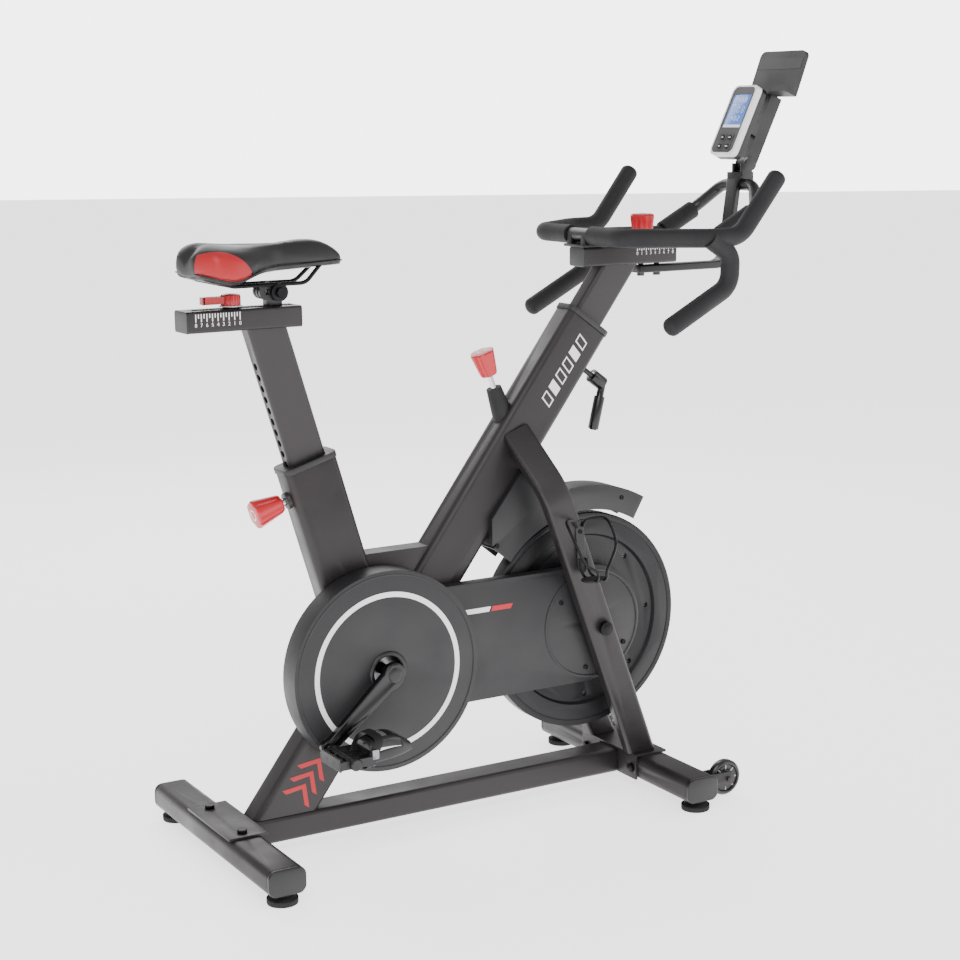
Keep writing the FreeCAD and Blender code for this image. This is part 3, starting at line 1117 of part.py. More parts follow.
os.makedirs("parts", exist_ok=True)
for part in subParts:
    part.Shape.exportStep("parts/%s.step" % part.Label)
print("sub-parts", len(subParts), "shift", shift, "size", bounds.XLength, bounds.YLength, bounds.ZLength)
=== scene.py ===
import json
import math

import bmesh
import bpy
from mathutils import Matrix, Vector


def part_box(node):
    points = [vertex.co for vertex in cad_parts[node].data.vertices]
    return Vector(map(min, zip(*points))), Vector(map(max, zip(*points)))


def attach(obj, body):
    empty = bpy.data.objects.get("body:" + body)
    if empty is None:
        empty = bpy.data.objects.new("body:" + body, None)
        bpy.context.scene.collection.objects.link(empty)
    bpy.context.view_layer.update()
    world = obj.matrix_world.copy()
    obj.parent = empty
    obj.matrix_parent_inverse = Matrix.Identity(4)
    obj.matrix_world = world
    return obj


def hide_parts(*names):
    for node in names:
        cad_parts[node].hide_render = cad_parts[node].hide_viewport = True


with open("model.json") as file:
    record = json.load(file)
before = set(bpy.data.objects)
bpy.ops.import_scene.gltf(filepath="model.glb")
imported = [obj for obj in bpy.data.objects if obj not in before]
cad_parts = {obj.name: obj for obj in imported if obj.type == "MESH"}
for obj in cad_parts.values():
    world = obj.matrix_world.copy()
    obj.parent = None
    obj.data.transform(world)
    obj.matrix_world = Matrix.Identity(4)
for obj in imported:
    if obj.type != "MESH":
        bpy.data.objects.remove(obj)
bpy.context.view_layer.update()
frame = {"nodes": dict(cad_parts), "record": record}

mm = 0.001
owner = {node: body for body, nodes in frame["record"]["behaviour"]["bodies"].items() for node in nodes}
axleLow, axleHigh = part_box("crank_axle")
crankX = (axleLow.x + axleHigh.x) / 2
crankZ = (axleLow.z + axleHigh.z) / 2


def at(x, y, z):
    # millimetres ahead of the crank axis, to the left of the middle, above the floor
    return Vector((crankX + x * mm, y * mm, z * mm))


def middle(node):
    low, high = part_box(node)
    return (low + high) / 2


def leaning(origin, degrees):
    # local Z leans forward by this angle and local Y stays across the bike
    return Matrix.Translation(origin) @ Matrix.Rotation(math.radians(degrees), 4, "Y")


# local Z to the rider's right, local X forward, local Y up
toRight = Matrix(((1, 0, 0, 0), (0, 0, -1, 0), (0, 1, 0, 0), (0, 0, 0, 1)))
# local Z to the rear, local X to the right, local Y up
toRider = Matrix(((0, 0, -1, 0), (-1, 0, 0, 0), (0, 1, 0, 0), (0, 0, 0, 1)))


# materials

def linear(code):
    channels = [int(code[i:i + 2], 16) / 255 for i in (1, 3, 5)]
    return tuple(c / 12.92 if c <= 0.04045 else ((c + 0.055) / 1.055) ** 2.4 for c in channels) + (1.0,)


def addNode(tree, kind, settings=None, inputs=None, links=None):
    node = tree.nodes.new(kind)
    for name, value in (settings or {}).items():
        setattr(node, name, value)
    for name, value in (inputs or {}).items():
        node.inputs[name].default_value = value
    for name, source in (links or {}).items():
        tree.links.new(source, node.inputs[name])
    return node


def colorRamp(tree, source, stops):
    ramp = addNode(tree, "ShaderNodeValToRGB", links={"Fac": source})
    while len(ramp.color_ramp.elements) < len(stops):
        ramp.color_ramp.elements.new(0.5)
    for element, (place, color) in zip(ramp.color_ramp.elements, stops):
        element.position = place
        element.color = color
    return ramp.outputs["Color"]


def surface(name, color, roughness, metallic=0.0, grain=0.8, grainDepth=0.02, variation=0.12, roughVariation=0.08,
            cells=False, stretch=(1, 1, 1), **constants):
    # grain is the size of the surface texture in mm, grainDepth its height in mm
    material = bpy.data.materials.new(name)
    material.use_nodes = True
    tree = material.node_tree
    shader = tree.nodes["Principled BSDF"]
    place = addNode(tree, "ShaderNodeTexCoord").outputs["Object"]
    scaled = addNode(tree, "ShaderNodeMapping", inputs={"Scale": stretch}, links={"Vector": place}).outputs["Vector"]
    broad = addNode(tree, "ShaderNodeTexNoise", inputs={"Scale": 14.0, "Detail": 3.0}, links={"Vector": place})
    base = linear(color)
    dark = tuple(c * (1 - variation) for c in base[:3]) + (1.0,)
    light = tuple(min(1.0, c * (1 + variation)) for c in base[:3]) + (1.0,)
    tree.links.new(colorRamp(tree, broad.outputs["Fac"], [(0.3, dark), (0.7, light)]), shader.inputs["Base Color"])
    rough = addNode(tree, "ShaderNodeMapRange", inputs={"From Min": 0.3, "From Max": 0.7,
                    "To Min": max(0.02, roughness - roughVariation), "To Max": roughness + roughVariation},
                    links={"Value": broad.outputs["Fac"]})
    tree.links.new(rough.outputs["Result"], shader.inputs["Roughness"])
    if cells:
        fine = addNode(tree, "ShaderNodeTexVoronoi", {"feature": "SMOOTH_F1"}, {"Scale": 1 / (grain * mm)},
                       {"Vector": scaled}).outputs["Distance"]
    else:
        fine = addNode(tree, "ShaderNodeTexNoise", inputs={"Scale": 1 / (grain * mm), "Detail": 2.0},
                       links={"Vector": scaled}).outputs["Fac"]
    bump = addNode(tree, "ShaderNodeBump", inputs={"Strength": 0.6, "Distance": grainDepth * mm},
                   links={"Height": fine})
    tree.links.new(bump.outputs["Normal"], shader.inputs["Normal"])
    shader.inputs["Metallic"].default_value = metallic
    for socket, value in constants.items():
        shader.inputs[socket].default_value = value
    return material


coats = {
    # satin powder coat on steel: soft broad highlights and a faint orange peel
    "powderCoat": surface("powderCoat", "#2f2b2c", 0.42, 0.4, grain=2.2, grainDepth=0.03),
    # injection moulded ABS with a fine spark-eroded grain: dull, even, slightly lighter on edges
    "mouldedAbs": surface("mouldedAbs", "#19181b", 0.5, grain=1.1, grainDepth=0.03, IOR=1.53),
    # glass filled nylon: darker and a little shinier than the guards
    "blackNylon": surface("blackNylon", "#09090b", 0.4, grain=1.4, grainDepth=0.03, IOR=1.53),
    # moulded polyurethane foam skin on the bars: soft, matt, faint leather pebble
    "foamSkin": surface("foamSkin", "#151417", 0.7, grain=1.6, grainDepth=0.07, cells=True, IOR=1.45),
    # vulcanised rubber for feet, belt and boot: matt and almost black
    "rubber": surface("rubber", "#08080a", 0.7, grain=1.5, grainDepth=0.04, IOR=1.52),
    # red ABS, moulded glossy
    "redAbs": surface("redAbs", "#b80f1d", 0.3, grain=2.0, grainDepth=0.012, variation=0.05, IOR=1.53),
    # white ABS of the console rim
    "whiteAbs": surface("whiteAbs", "#e8e8ea", 0.3, grain=2.0, grainDepth=0.01, variation=0.02, IOR=1.53),
    # gloss black stove enamel on cranks and lever
    "glossEnamel": surface("glossEnamel", "#08080a", 0.2, grain=3.0, grainDepth=0.02, IOR=1.5),
    # satin black paint of the hoop and console mast
    "satinPaint": surface("satinPaint", "#0c0c0e", 0.34, grain=2.4, grainDepth=0.02, IOR=1.5),
    # cast iron flywheel, turned and painted: fine circular tool marks are lost in the paint
    "paintedIron": surface("paintedIron", "#171619", 0.42, 0.3, grain=2.6, grainDepth=0.05),
    # polished chrome plate
    "chromePlate": surface("chromePlate", "#d9dadc", 0.1, 1.0, grain=6.0, grainDepth=0.004, variation=0.03,
                           roughVariation=0.04),
    # zinc plated steel, slightly mottled
    "zincPlate": surface("zincPlate", "#8d8d90", 0.34, 1.0, grain=1.2, grainDepth=0.01, variation=0.15),
    # blackened steel of bolts and saddle rails
    "blackSteel": surface("blackSteel", "#151517", 0.36, 0.7, grain=1.4, grainDepth=0.01),
    # printed white and red graphics: thin ink films
    "whiteInk": surface("whiteInk", "#f2f2f2", 0.45, grain=1.0, grainDepth=0.004, variation=0.02),
    "redInk": surface("redInk", "#bc1020", 0.45, grain=1.0, grainDepth=0.004, variation=0.04),
    "greyInk": surface("greyInk", "#9a9aa0", 0.45, grain=1.0, grainDepth=0.004, variation=0.04),
    # clear smoky polyurethane tyre
    "smokyTyre": surface("smokyTyre", "#1c1c1f", 0.25, grain=3.0, grainDepth=0.01, IOR=1.5),
    # liquid crystal panel behind a clear window
    "lcdBlue": surface("lcdBlue", "#5f83cf", 0.14, grain=4.0, grainDepth=0.003, variation=0.06, IOR=1.5),
    "lcdWhite": surface("lcdWhite", "#dfe8fa", 0.2, grain=4.0, grainDepth=0.003, variation=0.02),
}
print("materials ready")


def saddleLeather(name, seam):
    # embossed synthetic leather: pebbled grain about 1.5 mm across, black with a red side panel
    material = surface(name, "#09090a", 0.46, grain=1.5, grainDepth=0.09, cells=True, IOR=1.5)
    tree = material.node_tree
    shader = tree.nodes["Principled BSDF"]
    black = shader.inputs["Base Color"].links[0].from_socket
    place = addNode(tree, "ShaderNodeTexCoord").outputs["Object"]
    turned = addNode(tree, "ShaderNodeMapping", {"vector_type": "TEXTURE"},
                     {"Location": seam["centre"], "Rotation": (0, math.radians(seam["tilt"]), 0),
                      "Scale": seam["reach"]}, {"Vector": place})
    parts = addNode(tree, "ShaderNodeSeparateXYZ", links={"Vector": turned.outputs["Vector"]})
    flat = addNode(tree, "ShaderNodeCombineXYZ", links={"X": parts.outputs["X"], "Z": parts.outputs["Z"]})
    away = addNode(tree, "ShaderNodeVectorMath", {"operation": "LENGTH"}, links={0: flat.outputs["Vector"]})
    inside = addNode(tree, "ShaderNodeMath", {"operation": "LESS_THAN"}, {1: 1.0}, {0: away.outputs["Value"]})
    above = addNode(tree, "ShaderNodeMath", {"operation": "GREATER_THAN"}, {1: seam["floor"]},
                    {0: parts.outputs["Z"]})
    side = addNode(tree, "ShaderNodeSeparateXYZ", links={"Vector": place})
    wide = addNode(tree, "ShaderNodeMath", {"operation": "ABSOLUTE"}, links={0: side.outputs["Y"]})
    outer = addNode(tree, "ShaderNodeMath", {"operation": "GREATER_THAN"}, {1: seam["from"]},
                    {0: wide.outputs["Value"]})
    both = addNode(tree, "ShaderNodeMath", {"operation": "MULTIPLY"},
                   links={0: inside.outputs["Value"], 1: above.outputs["Value"]})
    mask = addNode(tree, "ShaderNodeMath", {"operation": "MULTIPLY"},
                   links={0: both.outputs["Value"], 1: outer.outputs["Value"]})
    mixed = addNode(tree, "ShaderNodeMix", {"data_type": "RGBA"})
    tree.links.new(mask.outputs["Value"], mixed.inputs["Factor"])
    tree.links.new(black, mixed.inputs["A"])
    mixed.inputs["B"].default_value = linear("#a80c18")
    tree.links.new(mixed.outputs["Result"], shader.inputs["Base Color"])
    return material


# pieces

def piece(name, verts, faces, coat, body, replaced=(), smooth=40, outward=False):
    mesh = bpy.data.meshes.new(name)
    mesh.from_pydata([tuple(v) for v in verts], [], faces)
    mesh.validate()
    if outward:
        work = bmesh.new()
        work.from_mesh(mesh)
        bmesh.ops.recalc_face_normals(work, faces=work.faces[:])
        work.to_mesh(mesh)
        work.free()
    return adopt(name, mesh, coat, body, replaced, smooth)


def adopt(name, mesh, coat, body, replaced=(), smooth=40):
    made = bpy.data.objects.new(name, mesh)
    bpy.context.scene.collection.objects.link(made)
    mesh.materials.clear()
    mesh.materials.append(coats[coat] if isinstance(coat, str) else coat)
    if smooth:
        mesh.shade_smooth()
        mesh.set_sharp_from_angle(angle=math.radians(smooth))
    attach(made, body)
    if replaced:
        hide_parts(*replaced)
    return made


def settled(made):
    # applies the modifiers, so the mesh is final
    view = bpy.context.evaluated_depsgraph_get()
    view.update()
    mesh = bpy.data.meshes.new_from_object(made.evaluated_get(view))
    made.modifiers.clear()
    made.data = mesh
    return made


def softened(node, coat, name, width=0.6, steps=2, smooth=35):
    # a cleaned copy of a CAD node with its sharp edges rounded
    source = frame["nodes"][node]
    work = bmesh.new()
    work.from_mesh(source.data)
    bmesh.ops.remove_doubles(work, verts=work.verts[:], dist=0.00001)
    bmesh.ops.dissolve_limit(work, angle_limit=math.radians(0.6), verts=work.verts[:], edges=work.edges[:])
    mesh = bpy.data.meshes.new(name)
    work.to_mesh(mesh)
    work.free()
    made = adopt(name, mesh, coat, owner[node], (node,), None)
    if width:
        bevelled(made, width, steps, 35)
    made.data.shade_smooth()
    made.data.set_sharp_from_angle(angle=math.radians(smooth))
    return made


def bevelled(made, width, segments, angle=None):
    bevel = made.modifiers.new("round", "BEVEL")
    bevel.width = width * mm
    bevel.segments = segments
    if angle:
        bevel.limit_method = "ANGLE"
        bevel.angle_limit = math.radians(angle)
    return settled(made)


def lathe(frameMatrix, profile, steps=64, shape=None):
    # profile: (radius, height) in mm from the axis; shape changes the radius by angle and height
    verts = []
    faces = []
    for radius, height in profile:
        for i in range(steps):
            angle = math.tau * i / steps
            r = shape(radius, height, angle) if shape else radius
            verts.append(frameMatrix @ Vector((r * math.cos(angle) * mm, r * math.sin(angle) * mm, height * mm)))
    for ring in range(len(profile) - 1):
        for i in range(steps):
            a = ring * steps + i
            b = ring * steps + (i + 1) % steps
            faces.append((a, b, b + steps, a + steps))
    faces.append(tuple(reversed(range(steps))))
    faces.append(tuple((len(profile) - 1) * steps + i for i in range(steps)))
    return verts, faces


def sweep(points, radius, steps=16, closed=False, flat=1.0, side=None):
    # a round or flattened bar through points in metres; side fixes the wide direction
    verts = []
    faces = []
    count = len(points)
    across = None
    for i, point in enumerate(points):
        before = points[(i - 1) % count] if closed or i else point
        after = points[(i + 1) % count] if closed or i < count - 1 else point
        along = (after - before).normalized()
        if side is not None:
            across = (side - along * side.dot(along)).normalized()
        elif across is None:
            across = along.orthogonal().normalized()
        else:
            across = (across - along * across.dot(along)).normalized()
        other = along.cross(across)
        for k in range(steps):
            angle = math.tau * k / steps
            verts.append(point + across * math.cos(angle) * radius + other * math.sin(angle) * radius * flat)
    rings = count if closed else count - 1
    for i in range(rings):
        for k in range(steps):
            a = i * steps + k
            b = i * steps + (k + 1) % steps
            c = ((i + 1) % count) * steps + (k + 1) % steps
            e = ((i + 1) % count) * steps + k
            faces.append((a, b, c, e))
    if not closed:
        faces.append(tuple(reversed(range(steps))))
        faces.append(tuple((count - 1) * steps + k for k in range(steps)))
    return verts, faces


def smoothPath(points, steps=10):
    # Catmull-Rom curve through the points
    out = []
    for i in range(len(points) - 1):
        p0 = points[max(i - 1, 0)]
        p1 = points[i]
        p2 = points[i + 1]
        p3 = points[min(i + 2, len(points) - 1)]
        for k in range(steps):
            t = k / steps
            out.append(0.5 * (2 * p1 + (p2 - p0) * t + (2 * p0 - 5 * p1 + 4 * p2 - p3) * t * t
                              + (3 * p1 - p0 - 3 * p2 + p3) * t ** 3))
    out.append(points[-1].copy())
    return out


def plate(outline, place, thick):
    # a flat outline (local X, Y in mm) given thickness along local Z
    count = len(outline)
    verts = [place @ Vector((x * mm, y * mm, z * mm)) for z in (0, thick) for x, y in outline]
    faces = [tuple(reversed(range(count))), tuple(range(count, count * 2))]
    for i in range(count):
        j = (i + 1) % count
        faces.append((i, j, j + count, i + count))
    return verts, faces


def roundedOutline(left, right, low, high, radius, steps=6):
    outline = []
    for cx, cy, start in ((right - radius, high - radius, 0), (left + radius, high - radius, 90),
                          (left + radius, low + radius, 180), (right - radius, low + radius, 270)):
        for k in range(steps + 1):
            angle = math.radians(start + 90 * k / steps)
            outline.append((cx + radius * math.cos(angle), cy + radius * math.sin(angle)))
    return outline


# geometry nodes for what repeats

def geometryTree(name, inputs):
    tree = bpy.data.node_groups.new(name, "GeometryNodeTree")
    tree.interface.new_socket(name="Geometry", in_out="INPUT", socket_type="NodeSocketGeometry")
    for label, kind in inputs:
        tree.interface.new_socket(name=label, in_out="INPUT", socket_type=kind)
    tree.interface.new_socket(name="Geometry", in_out="OUTPUT", socket_type="NodeSocketGeometry")
    start = tree.nodes.new("NodeGroupInput")
    finish = tree.nodes.new("NodeGroupOutput")
    return tree, start, finish


def screwTree():
    # a domed head with a six-sided socket on every point, facing along Normal
    tree, start, finish = geometryTree("screwHeads", [("Radius", "NodeSocketFloat"), ("Height", "NodeSocketFloat"),
                                       ("Normal", "NodeSocketVector"), ("Finish", "NodeSocketMaterial")])
    inputs = start.outputs
    head = addNode(tree, "GeometryNodeMeshCylinder", inputs={"Vertices": 24},
                   links={"Radius": inputs["Radius"], "Depth": inputs["Height"]})
    shrink = addNode(tree, "ShaderNodeMath", {"operation": "MULTIPLY"}, {1: 0.82}, {0: inputs["Radius"]})
    crown = addNode(tree, "GeometryNodeMeshCone", inputs={"Vertices": 24},
                    links={"Radius Bottom": inputs["Radius"], "Radius Top": shrink.outputs["Value"]})
    rise = addNode(tree, "ShaderNodeMath", {"operation": "MULTIPLY"}, {1: 0.35}, {0: inputs["Height"]})
    tree.links.new(rise.outputs["Value"], crown.inputs["Depth"])
    half = addNode(tree, "ShaderNodeMath", {"operation": "MULTIPLY"}, {1: 0.5}, {0: inputs["Height"]})
    lift = addNode(tree, "ShaderNodeCombineXYZ", links={"Z": half.outputs["Value"]})
    crownUp = addNode(tree, "GeometryNodeTransform", links={"Geometry": crown.outputs["Mesh"],
                      "Translation": lift.outputs["Vector"]})
    socketRadius = addNode(tree, "ShaderNodeMath", {"operation": "MULTIPLY"}, {1: 0.45}, {0: inputs["Radius"]})
    deep = addNode(tree, "ShaderNodeMath", {"operation": "MULTIPLY"}, {1: 1.2}, {0: inputs["Height"]})
    recess = addNode(tree, "GeometryNodeMeshCylinder", inputs={"Vertices": 6},
                     links={"Radius": socketRadius.outputs["Value"], "Depth": deep.outputs["Value"]})
    high = addNode(tree, "ShaderNodeMath", {"operation": "MULTIPLY"}, {1: 0.95}, {0: inputs["Height"]})
    liftMore = addNode(tree, "ShaderNodeCombineXYZ", links={"Z": high.outputs["Value"]})
    recessUp = addNode(tree, "GeometryNodeTransform", links={"Geometry": recess.outputs["Mesh"],
                       "Translation": liftMore.outputs["Vector"]})
    solid = addNode(tree, "GeometryNodeMeshBoolean", {"operation": "UNION"})
    tree.links.new(head.outputs["Mesh"], solid.inputs["Mesh 2"])
    tree.links.new(crownUp.outputs["Geometry"], solid.inputs["Mesh 2"])
    hollow = addNode(tree, "GeometryNodeMeshBoolean", {"operation": "DIFFERENCE"},
                     links={"Mesh 1": solid.outputs["Mesh"]})
    tree.links.new(recessUp.outputs["Geometry"], hollow.inputs["Mesh 2"])
    turn = addNode(tree, "FunctionNodeAlignRotationToVector", {"axis": "Z"}, links={"Vector": inputs["Normal"]})
    spread = addNode(tree, "GeometryNodeInstanceOnPoints", links={"Points": inputs["Geometry"],
                     "Instance": hollow.outputs["Mesh"], "Rotation": turn.outputs["Rotation"]})
    real = addNode(tree, "GeometryNodeRealizeInstances", links={"Geometry": spread.outputs["Instances"]})
    dress = addNode(tree, "GeometryNodeSetMaterial", links={"Geometry": real.outputs["Geometry"],
                    "Material": inputs["Finish"]})
    tree.links.new(dress.outputs["Geometry"], finish.inputs["Geometry"])
    return tree


def barTree():
    # a small block on every point, as ticks, teeth or stitches; its long side follows the tangent attribute
    tree, start, finish = geometryTree("smallBlocks", [("Size", "NodeSocketVector"),
                                       ("Finish", "NodeSocketMaterial")])
    inputs = start.outputs
    block = addNode(tree, "GeometryNodeMeshCube", links={"Size": inputs["Size"]})
    tangent = addNode(tree, "GeometryNodeInputNamedAttribute", {"data_type": "FLOAT_VECTOR"}, {"Name": "tangent"})
    upward = addNode(tree, "GeometryNodeInputNamedAttribute", {"data_type": "FLOAT_VECTOR"}, {"Name": "upward"})
    first = addNode(tree, "FunctionNodeAlignRotationToVector", {"axis": "X"},
                    links={"Vector": tangent.outputs["Attribute"]})
    turn = addNode(tree, "FunctionNodeAlignRotationToVector", {"axis": "Z", "pivot_axis": "X"},
                   links={"Rotation": first.outputs["Rotation"], "Vector": upward.outputs["Attribute"]})
    spread = addNode(tree, "GeometryNodeInstanceOnPoints", links={"Points": inputs["Geometry"],
                     "Instance": block.outputs["Mesh"], "Rotation": turn.outputs["Rotation"]})
    real = addNode(tree, "GeometryNodeRealizeInstances", links={"Geometry": spread.outputs["Instances"]})
    dress = addNode(tree, "GeometryNodeSetMaterial", links={"Geometry": real.outputs["Geometry"],
                    "Material": inputs["Finish"]})
    tree.links.new(dress.outputs["Geometry"], finish.inputs["Geometry"])
    return tree


trees = {"screws": screwTree(), "blocks": barTree()}


def grown(name, tree, points, values, coat, body, tangents=None, upwards=None):
    # runs a tree on points and keeps the result as a plain mesh
    seed = bpy.data.meshes.new(name + "Points")
    seed.from_pydata([tuple(p) for p in points], [], [])
    for label, vectors in (("tangent", tangents), ("upward", upwards)):
        if vectors:
            attribute = seed.attributes.new(label, "FLOAT_VECTOR", "POINT")
            attribute.data.foreach_set("vector", [c for v in vectors for c in v])
    holder = bpy.data.objects.new(name + "Holder", seed)
    bpy.context.scene.collection.objects.link(holder)
    modifier = holder.modifiers.new("grow", "NODES")
    modifier.node_group = trees[tree]
    finishes = dict(values, Finish=coats[coat])
    for socket in trees[tree].interface.items_tree:
        if socket.item_type == "SOCKET" and socket.in_out == "INPUT" and socket.name in finishes:
            modifier[socket.identifier] = finishes[socket.name]
    view = bpy.context.evaluated_depsgraph_get()
    mesh = bpy.data.meshes.new_from_object(holder.evaluated_get(view))
    bpy.data.objects.remove(holder)
    mesh.name = name
    return adopt(name, mesh, coat, body, (), 40)


def screws(name, spots, normal, radius, height, coat, body):
    values = {"Radius": radius * mm, "Height": height * mm, "Normal": tuple(normal)}
    return grown(name, "screws", spots, values, coat, body)


# steel frame, posts and everything whose CAD shape is right
print("frame")
asDesigned = {
    "powderCoat": ["rear_stabiliser", "front_stabiliser", "base_beam", "mount_plates", "rear_post", "seat_tube",
                   "main_tube", "bottom_bracket", "fork_leg_right", "fork_leg_left", "seat_post", "handlebar_post"],
    "mouldedAbs": ["tube_collars", "guard_left", "brake_cover"],
    "blackNylon": ["stabiliser_end_caps", "seat_slider"],
    "zincPlate": ["bearings", "magnet_bracket", "crank_pulley", "flywheel_pulley",
                  "brake_magnets"],
    "blackSteel": ["saddle_rails", "base_bolts", "crank_axle", "flywheel_axle"],
    "chromePlate": ["resistance_stem"],
    "rubber": ["drive_belt", "resistance_boot", "rear_foot_right", "rear_foot_left", "front_foot_right",
               "front_foot_left"],
    "glossEnamel": ["crank_arm_right", "crank_arm_left"],
    "satinPaint": ["handlebar_frame", "console_bracket"],
    "paintedIron": ["flywheel"],
    "foamSkin": ["bar_foam"],
}
edgeWidths = {"guard_left": 4, "brake_cover": 4, "tube_collars": 1.2, "mount_plates": 1.2,
              "crank_arm_right": 2.5, "crank_arm_left": 2.5, "stabiliser_end_caps": 2, "drive_belt": 0,
              "bar_foam": 0, "resistance_boot": 2, "flywheel": 1.0}


def camel(node):
    words = node.split("_")
    return words[0] + "".join(word.capitalize() for word in words[1:])


for coat, nodes in asDesigned.items():
    for node in nodes:
        softened(node, coat, camel(node), edgeWidths.get(node, 0.6))

# camera, floor and light
view = {"focal": 74.05, "yaw": -30.25, "pitch": -10.73, "roll": -0.61, "place": (-1534.7, -3039.4, 1275.7)}


def makeCamera():
    yaw = math.radians(view["yaw"])
    pitch = math.radians(view["pitch"])
    roll = math.radians(view["roll"])
    ahead = Vector((-math.sin(yaw) * math.cos(pitch), math.cos(yaw) * math.cos(pitch), math.sin(pitch)))
    right = Vector((math.cos(yaw), math.sin(yaw), 0))
    up = right.cross(ahead)
    rightTilted = right * math.cos(roll) + up * math.sin(roll)
    upTilted = up * math.cos(roll) - right * math.sin(roll)
    camera = bpy.data.cameras.new("camera")
    camera.lens = view["focal"]
    camera.sensor_width = 36
    camera.shift_y = 0.004
    camera.clip_end = 30
    holder = bpy.data.objects.new("camera", camera)
    bpy.context.scene.collection.objects.link(holder)
    turn = Matrix((rightTilted, upTilted, -ahead)).transposed().to_4x4()
    holder.matrix_world = Matrix.Translation(at(*view["place"])) @ turn
    bpy.context.scene.camera = holder


studio = {"sky": 0.8, "backdrop": 5.0, "floorGlow": 1.7,
          "lamps": (("key", (-1.8, -2.6, 3.0), 2.2, 60), ("fill", (2.6, -2.2, 1.8), 2.0, 24),
                    ("back", (0.4, 2.8, 2.6), 2.4, 60))}


def makeStudio():
    world = bpy.data.worlds.new("studio")
    bpy.context.scene.world = world
    world.use_nodes = True
    tree = world.node_tree
    tree.nodes["Background"].inputs["Color"].default_value = (1, 1, 1, 1)
    tree.nodes["Background"].inputs["Strength"].default_value = studio["sky"]
    # the backdrop is drawn brighter than the light it gives
    shown = addNode(tree, "ShaderNodeBackground", inputs={"Color": (1, 1, 1, 1), "Strength": studio["backdrop"]})
    path = addNode(tree, "ShaderNodeLightPath")
    blend = addNode(tree, "ShaderNodeMixShader", links={"Fac": path.outputs["Is Camera Ray"]})
    tree.links.new(tree.nodes["Background"].outputs["Background"], blend.inputs[1])
    tree.links.new(shown.outputs["Background"], blend.inputs[2])
    tree.links.new(blend.outputs["Shader"], tree.nodes["World Output"].inputs["Surface"])
    floorMaterial = surface("paleFloor", "#ffffff", 0.8, grain=8, grainDepth=0.01, variation=0.005)
    shader = floorMaterial.node_tree.nodes["Principled BSDF"]
    shader.inputs["Emission Color"].default_value = (1, 1, 1, 1)
    shader.inputs["Emission Strength"].default_value = studio["floorGlow"]
    mesh = bpy.data.meshes.new("floor")
    mesh.from_pydata([(-30, -30, -0.0005), (30, -30, -0.0005), (30, 30, -0.0005), (-30, 30, -0.0005)], [],
                     [(0, 1, 2, 3)])
    floor = bpy.data.objects.new("floor", mesh)
    mesh.materials.append(floorMaterial)
    bpy.context.scene.collection.objects.link(floor)
    for name, place, size, power in studio["lamps"]:
        light = bpy.data.lights.new(name, "AREA")
        light.energy = power
        light.size = size
        lamp = bpy.data.objects.new(name, light)
        lamp.location = place
        lamp.rotation_euler = (Vector((0, 0, 0.7)) - Vector(place)).to_track_quat("-Z", "Y").to_euler()
        bpy.context.scene.collection.objects.link(lamp)


makeCamera()
makeStudio()

# saddle: a swollen pad with wings, nose and central groove, red side panels and an edge bead
print("saddle")
saddle = {"back": -320, "nose": -34, "low": 1003, "top": 1068, "wing": 80, "noseHalf": 26, "grooveDeep": 7,
          "grooveWide": 11, "rows": 40, "around": 40, "voxel": 5, "pressure": 3, "frames": 12, "mostSwell": 2.2,
          "panelCentre": (-275, 1014), "panelReach": (53, 38), "panelTilt": 24}


def easing(t):
    t = min(1.0, max(0.0, t))
    return t * t * (3 - 2 * t)


def saddleHalf(t):
    # half width from the rear (0) to the nose (1)
    wings = saddle["wing"] * math.sin(math.pi / 2 * min(1, t / 0.17 + 0.28)) if t < 0.17 else saddle["wing"]
    neck = saddle["wing"] + (saddle["noseHalf"] - saddle["wing"]) * easing((t - 0.2) / 0.42)
    half = min(wings, neck)
    if t > 0.88:
        half *= math.sqrt(max(0.02, 1 - ((t - 0.88) / 0.125) ** 2))
    return half


def saddleCrown(t):
    # height of the top line: high at the rear, a shallow dip, then a drooping nose
    high = saddle["top"] - 3 - 5 * math.sin(math.pi * min(1, t / 0.72)) * easing(t / 0.3)
    if t < 0.14:
        high -= 16 * (1 - t / 0.14) ** 2
    if t > 0.76:
        high -= 28 * ((t - 0.76) / 0.24) ** 2.2
    return high


def saddleSkirt(t):
    # height of the lower edge: the wings hang lower than the waist and the nose
    wing = math.exp(-((t - 0.2) / 0.17) ** 2)
    return saddle["low"] + 19 - 17 * wing + 5 * easing((t - 0.5) / 0.5)


def saddleRing(t, grow=0.0, lift=0.0):
    half = saddleHalf(t) + grow
    crown = saddleCrown(t) + lift
    skirt = saddleSkirt(t)
    x = saddle["back"] + (saddle["nose"] - saddle["back"]) * t
    ring = []
    for k in range(saddle["around"]):
        angle = math.tau * k / saddle["around"]
        c, s = math.cos(angle), math.sin(angle)
        y = half * math.copysign(abs(c) ** 0.72, c)
        if s >= 0:
            shoulder = 0.62 + 0.38 * easing(t / 0.5)
            z = skirt + (crown - skirt) * (abs(s) ** (0.62 * shoulder))
            deep = saddle["grooveDeep"] * (1 - easing((t - 0.45) / 0.4))
            z -= deep * math.exp(-(y / saddle["grooveWide"]) ** 2)
            if t < 0.1:
                z -= 14 * (1 - t / 0.1) * math.exp(-(y / 24) ** 2)
        else:
            z = skirt - 3 * abs(s)
            y *= 1 - 0.12 * abs(s)
        ring.append(at(x, y, z))
    return ring


